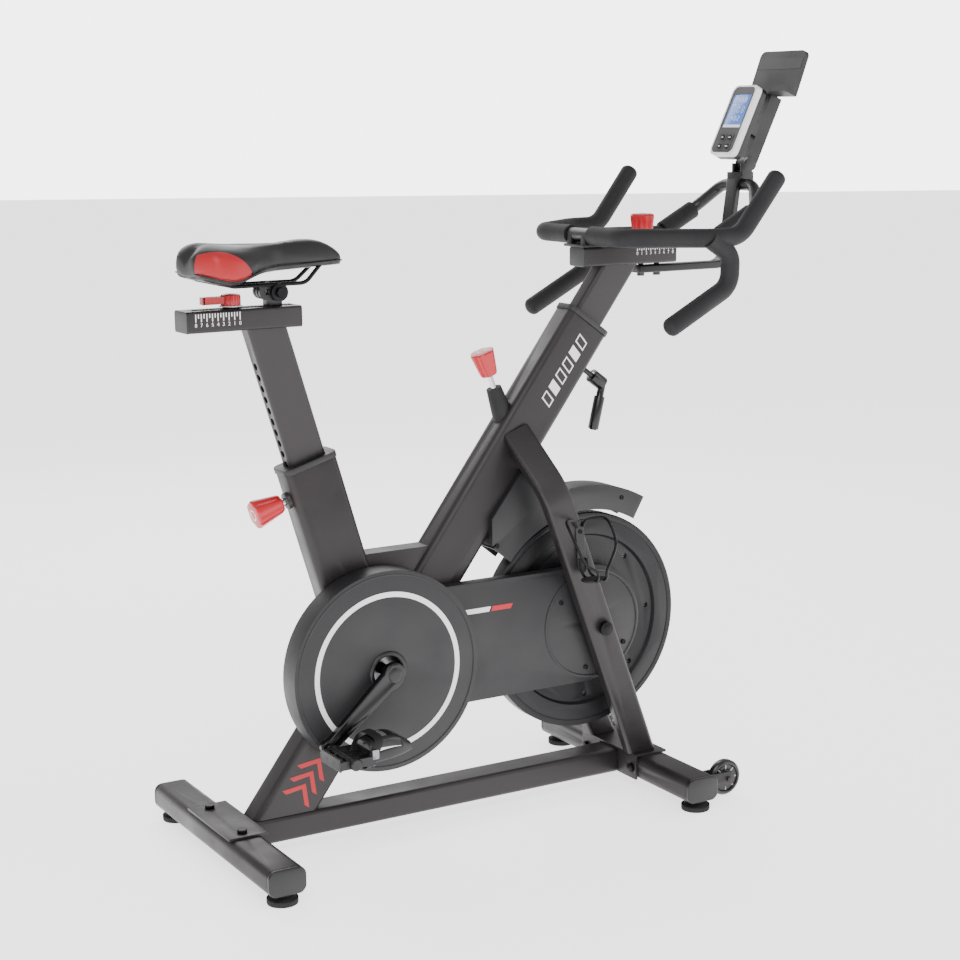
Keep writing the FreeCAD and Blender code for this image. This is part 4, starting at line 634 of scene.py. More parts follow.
def makeSaddle():
    verts = []
    faces = []
    n = saddle["around"]
    stations = [0.5 - 0.5 * math.cos(math.pi * i / (saddle["rows"] - 1)) for i in range(saddle["rows"])]
    for t in stations:
        verts += saddleRing(0.004 + 0.992 * t)
    for i in range(saddle["rows"] - 1):
        for k in range(n):
            a = i * n + k
            b = i * n + (k + 1) % n
            faces.append((a, a + n, b + n, b))
    faces.append(tuple(range(n)))
    faces.append(tuple(reversed(range((saddle["rows"] - 1) * n, saddle["rows"] * n))))
    cx, cz = saddle["panelCentre"]
    rx, rz = saddle["panelReach"]
    cover = saddleLeather("saddleLeather", {"centre": at(cx, 0, cz), "reach": (rx * mm, 1, rz * mm),
                          "tilt": saddle["panelTilt"], "from": 40 * mm, "floor": -0.62})
    made = piece("saddlePad", verts, faces, cover, "saddle", ("saddle_cushion",), 180, True)
    remesh = made.modifiers.new("even", "REMESH")
    remesh.mode = "VOXEL"
    remesh.voxel_size = saddle["voxel"] * mm
    settled(made)
    rest = [v.co.copy() for v in made.data.vertices]
    cloth = made.modifiers.new("fill", "CLOTH")
    cloth.settings.use_pressure = True
    cloth.settings.uniform_pressure_force = saddle["pressure"]
    cloth.settings.effector_weights.gravity = 0
    cloth.settings.quality = 5
    cloth.point_cache.frame_start = 1
    cloth.point_cache.frame_end = saddle["frames"]
    scene = bpy.context.scene
    for step in range(1, saddle["frames"] + 1):
        scene.frame_set(step)
    settled(made)
    scene.frame_set(1)
    limit = saddle["mostSwell"] * mm
    for vert, home in zip(made.data.vertices, rest):
        move = vert.co - home
        if move.length > limit:
            move *= limit / move.length
        vert.co = home + move
    smoothing = made.modifiers.new("relax", "SMOOTH")
    smoothing.factor = 0.5
    smoothing.iterations = 3
    subdivide = made.modifiers.new("fine", "SUBSURF")
    subdivide.levels = 1
    subdivide.render_levels = 1
    settled(made)
    made.data.materials.clear()
    made.data.materials.append(cover)
    made.data.shade_smooth()


def makeSaddleTrim():
    # moulded shell under the pad and a bead round the lower edge
    stations = [0.03 + 0.955 * i / 40 for i in range(41)]
    verts = []
    faces = []
    n = 24
    for t in stations:
        half = saddleHalf(t) - 4
        skirt = saddleSkirt(t)
        x = saddle["back"] + (saddle["nose"] - saddle["back"]) * t
        for k in range(n):
            angle = math.tau * k / n
            c, s = math.cos(angle), math.sin(angle)
            y = half * c
            z = skirt + (3 * s if s > 0 else 9 * s * (0.45 + 0.55 * abs(c)))
            verts.append(at(x, y, z - 1.5))
    for i in range(len(stations) - 1):
        for k in range(n):
            a = i * n + k
            b = i * n + (k + 1) % n
            faces.append((a, a + n, b + n, b))
    faces.append(tuple(range(n)))
    faces.append(tuple(reversed(range((len(stations) - 1) * n, len(stations) * n))))
    piece("saddleShell", verts, faces, "blackNylon", "saddle", (), 50, True)
    edge = []
    for side in (-1, 1):
        run = [t if side < 0 else 0.985 - (t - 0.02) for t in [0.02 + 0.965 * i / 60 for i in range(61)]]
        for t in run:
            x = saddle["back"] + (saddle["nose"] - saddle["back"]) * t
            edge.append(at(x, side * (saddleHalf(t) - 0.2), saddleSkirt(t) + 0.5))
    verts, faces = sweep(edge, 1.5 * mm, 8, closed=True)
    piece("saddleBead", verts, faces, "blackNylon", "saddle", (), 60, True)


makeSaddle()
makeSaddleTrim()

# belt guard: a bowed shell with a bevelled rim, a raised hub cap, the printed ring and generic stripes
print("guards")
guard = {"radius": 180, "face": -84, "ring": (133.2, 142.4), "ringThick": 0.35, "beadIn": 9, "crankHole": 30,
         "capFace": -61, "capBead": (101, 2.2, 1.0), "screwCircle": 84, "screwAngles": (73, 145, 260, 327),
         "stripeAt": (215, 386), "stripeFace": -59.5, "stripeHigh": 9, "stripeSlant": 4,
         "stripes": (("guardStripeWhite", -48, 52, "whiteInk"), ("guardStripeRed", 8, 42, "redInk"))}
flyLow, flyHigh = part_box("flywheel")
flyX = ((flyLow.x + flyHigh.x) / 2 - crankX) / mm
flyZ = (flyLow.z + flyHigh.z) / 2 / mm
crankUp = crankZ / mm


def ringSolid(x, y, z, profile, steps):
    # a closed ring round an axle across the bike; profile holds (radius, distance to the right) in mm
    verts = []
    faces = []
    count = len(profile)
    for i in range(steps):
        angle = math.tau * i / steps
        for radius, out in profile:
            verts.append(at(x + radius * math.cos(angle), y - out, z + radius * math.sin(angle)))
    for i in range(steps):
        j = (i + 1) % steps
        for k in range(count):
            m = (k + 1) % count
            faces.append((i * count + k, j * count + k, j * count + m, i * count + m))
    return verts, faces


def ringPlate(name, x, z, y, inner, outer, thick, coat, body, steps=128):
    profile = [(inner, 0), (outer, 0), (outer, thick), (inner, thick)]
    verts, faces = ringSolid(x, y, z, profile, steps)
    return piece(name, verts, faces, coat, body, (), 40, True)


def sideways(x, y, z, turn=0):
    # local Z points to the right of the bike, local X forward, turned about the axle by the angle
    return Matrix.Translation(at(x, y, z)) @ toRight @ Matrix.Rotation(math.radians(turn), 4, "Z")


def makeGuard():
    softened("guard_right", "mouldedAbs", "guardRight", 3.2, 3)
    inner, outer = guard["ring"]
    ringPlate("guardRing", 0, crankUp, guard["face"] - 0.02, inner, outer, guard["ringThick"], "whiteInk", "frame")
    bead = guard["radius"] - guard["beadIn"]
    profile = [(bead, -1.2), (bead, 0.7), (bead + 1.6, 1.3), (bead + 3, 0.7), (bead + 3, -1.2)]
    verts, faces = ringSolid(0, guard["face"], crankUp, profile, 160)
    piece("guardStepBead", verts, faces, "mouldedAbs", "frame", (), 50, True)
    lip = guard["crankHole"]
    profile = [(lip - 1, -4), (lip - 1, 2.2), (lip + 1, 3.2), (lip + 5, 2.6), (lip + 7, 0), (lip + 7, -4)]
    verts, faces = ringSolid(0, guard["face"], crankUp, profile, 64)
    piece("guardHoleLip", verts, faces, "blackNylon", "frame", (), 50, True)
    spots = []
    for angle in guard["screwAngles"]:
        turn = math.radians(angle)
        spots.append(at(flyX + guard["screwCircle"] * math.cos(turn), guard["capFace"] - 0.8,
                        flyZ + guard["screwCircle"] * math.sin(turn)))
    screws("guardScrews", spots, (0, -1, 0), 4.6, 2.2, "blackSteel", "frame")
    radius, wide, high = guard["capBead"]
    profile = [(radius - wide, -1), (radius - wide, 0.2), (radius, high), (radius + wide, 0.2), (radius + wide, -1)]
    verts, faces = ringSolid(flyX, guard["capFace"], flyZ, profile, 128)
    piece("hubCapBead", verts, faces, "mouldedAbs", "frame", (), 50, True)
    # two plain printed bars where the arm meets the round part
    x, z = guard["stripeAt"]
    place = sideways(x, guard["stripeFace"], z)
    slant = guard["stripeSlant"]
    high = guard["stripeHigh"]
    for name, start, long, coat in guard["stripes"]:
        outline = [(start, 0), (start + long, 0), (start + long + slant, high), (start + slant, high)]
        verts, faces = plate(outline, place, 0.4)
        piece(name, verts, faces, coat, "frame", (), 0, True)


makeGuard()
softened("transport_wheel_right", "smokyTyre", "transportWheelRight", 1.0)
softened("transport_wheel_left", "smokyTyre", "transportWheelLeft", 1.0)
softened("clamp_lever", "glossEnamel", "clampLever", 1.0)


# red knobs: fluted cones with a domed cap and a white mark
print("knobs")
knobs = {"flutes": 6, "fluteDeep": 2.1, "steps": 72, "pinSpot": 334.7, "pinLean": -16.5, "stemAt": (267, 786),
         "stemLean": -19.9, "barKnobX": 593,
         "stemProfile": [(9, 21), (13.5, 21.4), (15.6, 23), (17.2, 28), (19.5, 42), (21.6, 56), (22.6, 62), (22.9, 65),
                         (21.8, 67.2), (18.5, 68.2), (12, 68.6)],
         "barProfile": [(8, 1036), (15.5, 1036.6), (18.6, 1039), (19.8, 1045), (21.4, 1062), (22.8, 1075),
                        (23.1, 1079), (21.6, 1081.8), (18, 1082.7), (11, 1083)],
         "pinProfile": [(9, 65), (14.4, 65.4), (16.8, 68), (18, 74), (20.6, 88), (23.6, 104), (25, 111), (25.3, 115),
                        (23.6, 118), (19, 119), (12, 119.2)],
         "pinStem": [(6, 35.6), (6, 64.2), (7.5, 64.6), (7.5, 66)],
         "barStud": [(5, 1024.4), (5, 1034), (9, 1034.5), (9, 1037)]}


def knobShape(radius, height, angle):
    wave = 0.5 + 0.5 * math.cos(knobs["flutes"] * angle)
    deep = knobs["fluteDeep"] * min(1, max(0, (radius - 9) / 8))
    return radius - deep * (1 - wave) ** 2


def makeKnob(name, frameMatrix, profile, body, mark):
    # the body has the same name as the part that the knob stands for
    verts, faces = lathe(frameMatrix, profile, knobs["steps"], knobShape)
    piece(name, verts, faces, "redAbs", body, (body,), 30, True)
    top = profile[-1][1]
    verts, faces = lathe(frameMatrix, [(mark, top - 1), (mark, top + 0.25), (mark - 1.2, top + 0.35)], 48)
    piece(name + "Mark", verts, faces, "whiteInk", body, (), 40, True)
    verts, faces = lathe(frameMatrix, [(mark - 2.2, top - 0.5), (mark - 2.2, top + 0.45), (mark - 3, top + 0.6)], 48)
    piece(name + "Cap", verts, faces, "redAbs", body, (), 40, True)


stemX, stemZ = knobs["stemAt"]
barKnobPlace = leaning(at(knobs["barKnobX"], 0, 0), 0)
seatTubeTurn = leaning(at(0, 0, crankUp), knobs["pinLean"])
alongRear = Matrix.Rotation(math.radians(-90), 4, "Y")
pinPlace = seatTubeTurn @ Matrix.Translation((0, 0, knobs["pinSpot"] * mm)) @ alongRear
makeKnob("resistanceKnobRed", leaning(at(stemX, 0, stemZ), knobs["stemLean"]), knobs["stemProfile"],
         "resistance_knob", 9)
makeKnob("handlebarKnobRed", barKnobPlace, knobs["barProfile"], "handlebar_knob", 9)
makeKnob("seatPinKnobRed", pinPlace, knobs["pinProfile"], "seat_pin_knob", 10)
verts, faces = lathe(pinPlace, knobs["pinStem"], 32)
piece("seatPinStem", verts, faces, "chromePlate", "seat_pin_knob", (), 40, True)
verts, faces = lathe(barKnobPlace, knobs["barStud"], 32)
piece("handlebarKnobStud", verts, faces, "chromePlate", "handlebar_knob", (), 40, True)


# seat lever: boxy cam body with flutes and an open arm
lever = {"x": -238, "radius": 17, "flute": 0.9}


def makeSeatLever():
    low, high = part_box("seat_lever")
    x = lever["x"]
    base = low.z / mm
    top = high.z / mm
    wide = lever["radius"]
    place = leaning(at(x, 0, 0), 0)
    verts, faces = lathe(place, [(wide - 3, base + 1.5), (wide - 0.4, base + 2.4), (wide, base + 6), (wide, top - 4.5),
                         (wide - 1.2, top - 1.6), (wide - 5, top - 0.5)], 48,
                         lambda r, h, a: r - (lever["flute"] * max(0, math.cos(12 * a)) ** 3 if r > wide - 2 else 0))
    piece("seatLeverCam", verts, faces, "redAbs", "seat_lever", ("seat_lever",), 30, True)
    bars = []
    for y in (-7, 7):
        bars.append(roundedOutline(x - 52, x - 13, y - 1.8, y + 1.8, 1.6, 3))
    bars.append(roundedOutline(x - 52, x - 47.5, -8.8, 8.8, 1.6, 3))
    for number, outline in enumerate(bars):
        verts, faces = plate(outline, leaning(at(0, 0, base + 5), 0), 12)
        piece("seatLeverArm%d" % number, verts, faces, "redAbs", "seat_lever", (), 40, True)
    verts, faces = lathe(place, [(19, base + 0.05), (19.5, base + 0.6), (19, base + 1.6), (12, base + 2)], 48)
    piece("seatLeverWasher", verts, faces, "whiteAbs", "seat_lever", (), 40, True)
    verts, faces = lathe(place, [(6.5, top - 0.6), (6.5, top - 0.1), (5, top + 0.1)], 6)
    piece("seatLeverNut", verts, faces, "blackSteel", "seat_lever", (), 20, True)


makeSeatLever()

# printed marks: rulers, chevrons and plain outline bars
print("printed marks")
marks = {"digit": 6.5, "ink": 0.25, "railStart": -311.9, "railStep": 9.8, "railTop": 952, "sleeveStart": 565,
         "sleeveStep": 10, "chevronTip": (-109, 160), "chevronStep": (-15, -21), "chevronArm": 45,
         "tubeFace": -28.02, "barAt": (402, 806), "barTurn": 53.6, "barStart": -72, "barStep": 24.5, "barSlant": 6,
         "barWide": 17, "barHigh": 24, "barEdge": 2.2}


def digits(name, text, place, size, coat, body):
    font = bpy.data.curves.new(name, "FONT")
    font.body = text
    font.size = size * mm
    font.align_x = "CENTER"
    font.align_y = "CENTER"
    font.extrude = 0.12 * mm
    font.resolution_u = 3
    holder = bpy.data.objects.new(name + "Holder", font)
    bpy.context.scene.collection.objects.link(holder)
    mesh = bpy.data.meshes.new_from_object(holder.evaluated_get(bpy.context.evaluated_depsgraph_get()))
    bpy.data.objects.remove(holder)
    mesh.transform(place)
    mesh.name = name
    return adopt(name, mesh, coat, body, (), 0)


def ruler(name, start, step, face, top, longTick, shortTick, gap, body, numbers, size):
    # ticks hang from the top line, with the numbers below them
    for kind, length, count, offset in (("Long", longTick, len(numbers), 0),
                                        ("Short", shortTick, len(numbers) - 1, 0.5)):
        spots = [at(start + step * (i + offset), face - 0.05, top - length / 2) for i in range(count)]
        along = [(1, 0, 0)] * count
        upward = [(0, 0, 1)] * count
        grown(name + kind + "Ticks", "blocks", spots, {"Size": (1.7 * mm, marks["ink"] * mm, length * mm)}, "whiteInk",
              body, along, upward)
    for i, number in enumerate(numbers):
        place = sideways(start + step * i, face - 0.1, top - longTick - gap - size / 2)
        digits(name + "Number%d" % i, str(number), place, size * 1.35, "whiteInk", body)


ruler("railRuler", marks["railStart"], marks["railStep"], -27.35, marks["railTop"], 13, 7, 2.5, "seat_post",
      list(range(8, -1, -1)), marks["digit"])
ruler("sleeveRuler", marks["sleeveStart"], marks["sleeveStep"], -25, 1020.5, 4.5, 2.5, 1.5, "handlebar_post",
      list(range(0, 9)), 6)


def inkFrame(name, outer, inner, place, thick, coat, body):
    count = len(outer)
    verts = [place @ Vector((x * mm, y * mm, z * mm)) for z in (-0.05, thick) for ring in (outer, inner)
             for x, y in ring]
    faces = []
    for i in range(count):
        j = (i + 1) % count
        a, b, c, e = i, j, count + j, count + i
        top = count * 2
        faces += [(a, b, c, e), (a + top, e + top, c + top, b + top), (a, a + top, b + top, b),
                  (e, c, c + top, e + top)]
    return piece(name, verts, faces, coat, body, (), 0, True)


def makeMarks():
    arm = marks["chevronArm"]
    for number in range(3):
        x = marks["chevronTip"][0] + marks["chevronStep"][0] * number
        z = marks["chevronTip"][1] + marks["chevronStep"][1] * number
        outline = [(-arm, -6), (0, 0), (6, -arm), (-3, -arm + 6), (-7, -8.5), (-arm + 7, -13.5)]
        verts, faces = plate(outline, sideways(x, marks["tubeFace"], z), marks["ink"])
        piece("chevron%d" % number, verts, faces, "redInk", "frame", (), 0, True)
    slant = marks["barSlant"]
    wide = marks["barWide"]
    high = marks["barHigh"]
    edge = marks["barEdge"]
    x, z = marks["barAt"]
    place = sideways(x, marks["tubeFace"], z, marks["barTurn"])
    for number in range(6):
        start = marks["barStart"] + number * marks["barStep"]
        outer = [(start, -high / 2), (start + wide, -high / 2), (start + wide + slant, high / 2),
                 (start + slant, high / 2)]
        inner = [(start + edge + 0.5, -high / 2 + edge), (start + wide - edge, -high / 2 + edge),
                 (start + wide + slant - edge - 0.5, high / 2 - edge), (start + slant + edge, high / 2 - edge)]
        if number % 3 == 1:
            verts, faces = plate(outer, place, marks["ink"])
            piece("tubeMark%d" % number, verts, faces, "whiteInk", "frame", (), 0, True)
        else:
            inkFrame("tubeMark%d" % number, outer, inner, place, marks["ink"], "whiteInk", "frame")


makeMarks()


# console: white shell, black bezel, blue display with white segments, grey key panel
print("console")
console = {"x": 772, "z": 1188, "lean": 25.8, "half": 36, "high": 142, "rim": 3.6, "corner": 15, "window": (55, 123.5),
           "windowHalf": 27, "parting": 12, "rimProud": 1.6, "bezelProud": 0.7, "keyRise": 15.8, "keyPitch": (11, 18),
           "keyPlate": (10.3, 8.4), "keyHole": 5.6, "keyProud": 1.2, "footer": (26, 56, 61)}
# outlines on the case face: local X runs to the rider's right and local Y up the case
facing = leaning(at(console["x"], 0, console["z"]), console["lean"]) @ toRider


def onFace(y, up, out=0.0):
    return facing @ Vector((y * mm, up * mm, out * mm))


def makeConsole():
    # the shell is white in front and black behind its parting line
    shell = softened("console_case", "whiteAbs", "consoleShell", 2.0, 3)
    work = bmesh.new()
    work.from_mesh(shell.data)
    parting = facing @ Vector((0, 0, -console["parting"] * mm))
    away = (facing.to_3x3() @ Vector((0, 0, 1))).normalized()
    bmesh.ops.bisect_plane(work, geom=work.verts[:] + work.edges[:] + work.faces[:], plane_co=parting, plane_no=away)
    for part in work.faces:
        if (part.calc_center_median() - parting).dot(away) < 0:
            part.material_index = 1
    work.to_mesh(shell.data)
    work.free()
    shell.data.materials.append(coats["blackNylon"])
    display = softened("console_screen", "lcdBlue", "consoleDisplay", 0.2)
    toFace = facing.inverted()
    glass = max((toFace @ v.co).z for v in display.data.vertices) / mm + 0.05
    half = console["half"]
    high = console["high"]
    rim = console["rim"]
    corner = console["corner"]
    outer = roundedOutline(-half + rim, half - rim, rim, high - rim, corner - rim)
    low, top = console["window"]
    wide = console["windowHalf"]
    inner = roundedOutline(-wide, wide, low, top, 1.5)
    inkFrame("consoleBezel", outer, inner, facing, console["bezelProud"], "blackNylon", "console")
    rimOuter = roundedOutline(-half + 0.3, half - 0.3, 0.3, high - 0.3, corner - 1)
    rimRing = inkFrame("consoleRim", rimOuter, outer, facing, console["rimProud"], "whiteAbs", "console")
    bevelled(rimRing, 0.7, 3)
    for row in (0, 1):
        for column in (-1, 1):
            up = console["keyRise"] + console["keyPitch"][1] * row
            y = console["keyPitch"][0] * column
            name = "consoleKeyPlate%d%s" % (row, "Right" if column > 0 else "Left")
            plateHalf, plateRise = console["keyPlate"]
            hole = console["keyHole"]
            keyOuter = roundedOutline(y - plateHalf, y + plateHalf, up - plateRise, up + plateRise, 3)
            keyInner = roundedOutline(y - hole, y + hole, up - hole, up + hole, 2.5)
            inkFrame(name, keyOuter, keyInner, facing, console["keyProud"], "mouldedAbs", "console")
    for number in range(1, 5):
        node = "console_button_%d" % number
        softened(node, "rubber", "consoleKey%d" % number, 0.5)
        centre = (toFace @ middle(node)) / mm
        wide = 2.2 + number % 2
        outline = [(centre.x - wide, centre.y - 0.8), (centre.x + wide, centre.y - 0.8),
                   (centre.x + wide, centre.y + 0.8), (centre.x - wide, centre.y + 0.8)]
        verts, faces = plate(outline, facing @ Matrix.Translation((0, 0, 2.1 * mm)), 0.35)
        piece("consoleKeyMark%d" % number, verts, faces, "whiteInk", node, (), 0, True)
    # seven-bar digits and gauge blocks on the display
    upright = []
    flat = []
    lit = {"two": "abged", "four": "fgbc", "zero": "abcdef", "eight": "abcdefg"}

    def digit(code, y, up, size):
        place = {"a": (0, 1, 0), "g": (0, 0, 0), "d": (0, -1, 0), "f": (-0.5, 0.5, 1), "b": (0.5, 0.5, 1),
                 "e": (-0.5, -0.5, 1), "c": (0.5, -0.5, 1)}
        for bar in lit[code]:
            dx, dy, tall = place[bar]
            (upright if tall else flat).append(onFace(y + dx * size, up + dy * size, glass + 0.1))

    for i, code in enumerate(("two", "four", "zero", "eight")):
        digit(code, -15 + i * 9.6, 112, 4.2)
    for i, code in enumerate(("zero", "eight")):
        digit(code, 2 + i * 13, 92, 6.2)
    for i, code in enumerate(("four", "zero", "two")):
        digit(code, -8 + i * 9.6, 74, 4.2)
    across = tuple(facing.to_3x3() @ Vector((1, 0, 0)))
    upAxis = tuple(facing.to_3x3() @ Vector((0, 1, 0)))
    out = tuple(facing.to_3x3() @ Vector((0, 0, 1)))
    for name, group, along in (("displayUpright", upright, upAxis), ("displayFlat", flat, across)):
        grown(name, "blocks", group, {"Size": (3.8 * mm, 1.1 * mm, 0.3 * mm)}, "lcdWhite", "console",
              [along] * len(group), [out] * len(group))
    gauge = [onFace(-20 + i * 4.2, 101.5, glass + 0.1) for i in range(3)]
    grown("displayGauge", "blocks", gauge, {"Size": (3 * mm, 2 * mm, 0.3 * mm)}, "lcdWhite", "console",
          [across] * 3, [out] * 3)
    wide, low, high = console["footer"]
    outline = [(-wide, low), (wide, low), (wide, high), (-wide, high)]
    verts, faces = plate(outline, facing @ Matrix.Translation((0, 0, glass * mm)), 0.25)
    piece("displayFooter", verts, faces, "lcdWhite", "console", (), 0, True)


makeConsole()


# foam bar ends: domed tips
print("bars")
bars = {"foam": 17, "hornEnd": (722, 231, 1150), "hornWay": (78, 3, 100), "dropEnd": (495, 231, 898),
        "dropWay": (-125, 0, -66)}


def dome(name, end, way, radius, coat, body):
    axis = Vector(way).normalized()
    turn = axis.to_track_quat("Z", "Y").to_matrix().to_4x4()
    place = Matrix.Translation(at(*end)) @ turn
    profile = [(radius * math.cos(a), radius * 0.75 * math.sin(a)) for a in [math.radians(i * 9.9) for i in range(10)]]
    verts, faces = lathe(place, [(radius * 0.98, -4), (radius * 1.004, -2)] + profile, 40)
    piece(name, verts, faces, coat, body, (), 60, True)


for side, word in ((-1, "Right"), (1, "Left")):
    x, y, z = bars["hornEnd"]
    wx, wy, wz = bars["hornWay"]
    dome("hornTip" + word, (x, side * y, z), (wx, side * wy, wz), bars["foam"], "foamSkin", "handlebar")
    x, y, z = bars["dropEnd"]
    dome("dropTip" + word, (x, side * y, z), bars["dropWay"], bars["foam"], "foamSkin", "handlebar")


def endPlug(name, x, z, wide, high, thick, ahead, body):
    # a rounded cap closing a tube along the bike; ahead is 1 for the front end and -1 for the rear
    outline = roundedOutline(-wide / 2, wide / 2, -high / 2, high / 2, 5)
    place = Matrix.Translation(at(x, 0, z)) @ Matrix(((0, 0, ahead, 0), (1, 0, 0, 0), (0, 1, 0, 0), (0, 0, 0, 1)))
    verts, faces = plate(outline, place, thick)
    made = piece(name, verts, faces, "blackNylon", body, (), 40, True)
    bevelled(made, 1.4, 3, 30)
    made.data.shade_smooth()
    made.data.set_sharp_from_angle(angle=math.radians(40))


for name, x, z, wide, high, thick, ahead, body in (("railPlugRear", -323.6, 938, 55, 36.4, 4, -1, "seat_post"),
                                                   ("railPlugFront", -123.4, 938, 55, 36.4, 3.5, 1, "seat_post"),
                                                   ("sleevePlugRear", 451.6, 1009.5, 50.4, 35.4, 4, -1,
                                                    "handlebar_post")):
    endPlug(name, x, z, wide, high, thick, ahead, body)


# saddle clamp: ridged pivot drum and hexagon bolt heads
clamp = {"at": (-161, 980), "ringPitch": 12, "nut": 8.5, "nutThick": 7, "nutY": {"Right": -30.5, "Left": 37.5}}


def makeClampDetail():
    x, z = clamp["at"]
    for number in range(3):
        y = (number - 1) * clamp["ringPitch"]
        ringPlate("saddleClampRing%d" % number, x - 20, z + 1, y - 3, 5, 13.5 - number * 0.3, 7, "blackNylon",
                  "seat_slider", 48)
    nut = clamp["nut"]
    outline = [(nut * math.cos(math.tau * k / 6), nut * math.sin(math.tau * k / 6)) for k in range(6)]
    for word, y in clamp["nutY"].items():
        verts, faces = plate(outline, sideways(x, y, z), clamp["nutThick"])
        piece("saddleClampNut" + word, verts, faces, "blackSteel", "saddle", (), 20, True)


makeClampDetail()

# pedals with toothed edges, moulded toe cages with windows, and their straps
print("pedals")
pedal = {"back": -27, "front": 39, "half": 37, "thick": 24, "rail": 4, "teeth": 12, "cageStart": 34, "cageEnd": 121,
         "cageHalf": 30, "cageTop": 31, "toeInward": 0.72, "wall": 2.6, "strapAhead": 33, "strapHalf": 35,
         "strapMiddle": 9, "strapRise": 26, "strapWide": 15, "strapLean": 0.55}


def cageGrid(centre):
    # an arched hood that narrows and drops to the toe; windows are left open in it
    rows, around = 18, 24
    verts = []
    for i in range(rows + 1):
        t = i / rows
        x = pedal["cageStart"] + (pedal["cageEnd"] - pedal["cageStart"]) * t
        half = pedal["cageHalf"] * (1 - 0.5 * max(0, (t - 0.35) / 0.65) ** 2.2)
        swell = 0.34 * math.sin(math.pi * min(1, t * 1.15))
        top = pedal["cageTop"] * (0.8 + swell - 0.42 * max(0, (t - 0.6) / 0.4) ** 2)
        low = -9 + 7 * t
        for k in range(around + 1):
            angle = math.pi * k / around
            c, s = math.cos(angle), math.sin(angle)
            y = half * math.copysign(abs(c) ** 0.6, c)
            z = low + (top - low) * abs(s) ** 0.55
            verts.append(Vector((centre.x + x * mm, centre.y + y * mm, centre.z + z * mm)))
    faces = []
    for i in range(rows):
        for k in range(around):
            sideWindow = 3 <= i <= 12 and k in (2, 3, 4, 5, 18, 19, 20, 21)
            topWindow = (4 <= i <= 7 and 9 <= k <= 14) or (11 <= i <= 14 and 10 <= k <= 13)
            if not sideWindow and not topWindow:
                a = i * (around + 1) + k
                faces.append((a, a + 1, a + around + 2, a + around + 1))
    # the toe end turns in by a narrow strip and stays open
    last = rows * (around + 1)
    count = len(verts)
    inward = pedal["toeInward"]
    verts += [Vector((centre.x + (pedal["cageEnd"] + 2) * mm, centre.y + (v.y - centre.y) * inward,
                      centre.z + (v.z - centre.z) * inward)) for v in verts[last:last + around + 1]]
    for k in range(around):
        faces.append((last + k, last + k + 1, count + k + 1, count + k))
    return verts, faces


def toothed(half, tall, teeth, tooth):
    # a strip outline with saw teeth along its upper and lower edges
    outline = []
    for k in range(teeth * 2 + 1):
        outline.append((half - half * k / teeth, tall / 2 + (tooth if k % 2 else 0)))
    for k in range(teeth * 2 + 1):
        outline.append((-half + half * k / teeth, -tall / 2 - (tooth if k % 2 else 0)))
    return outline


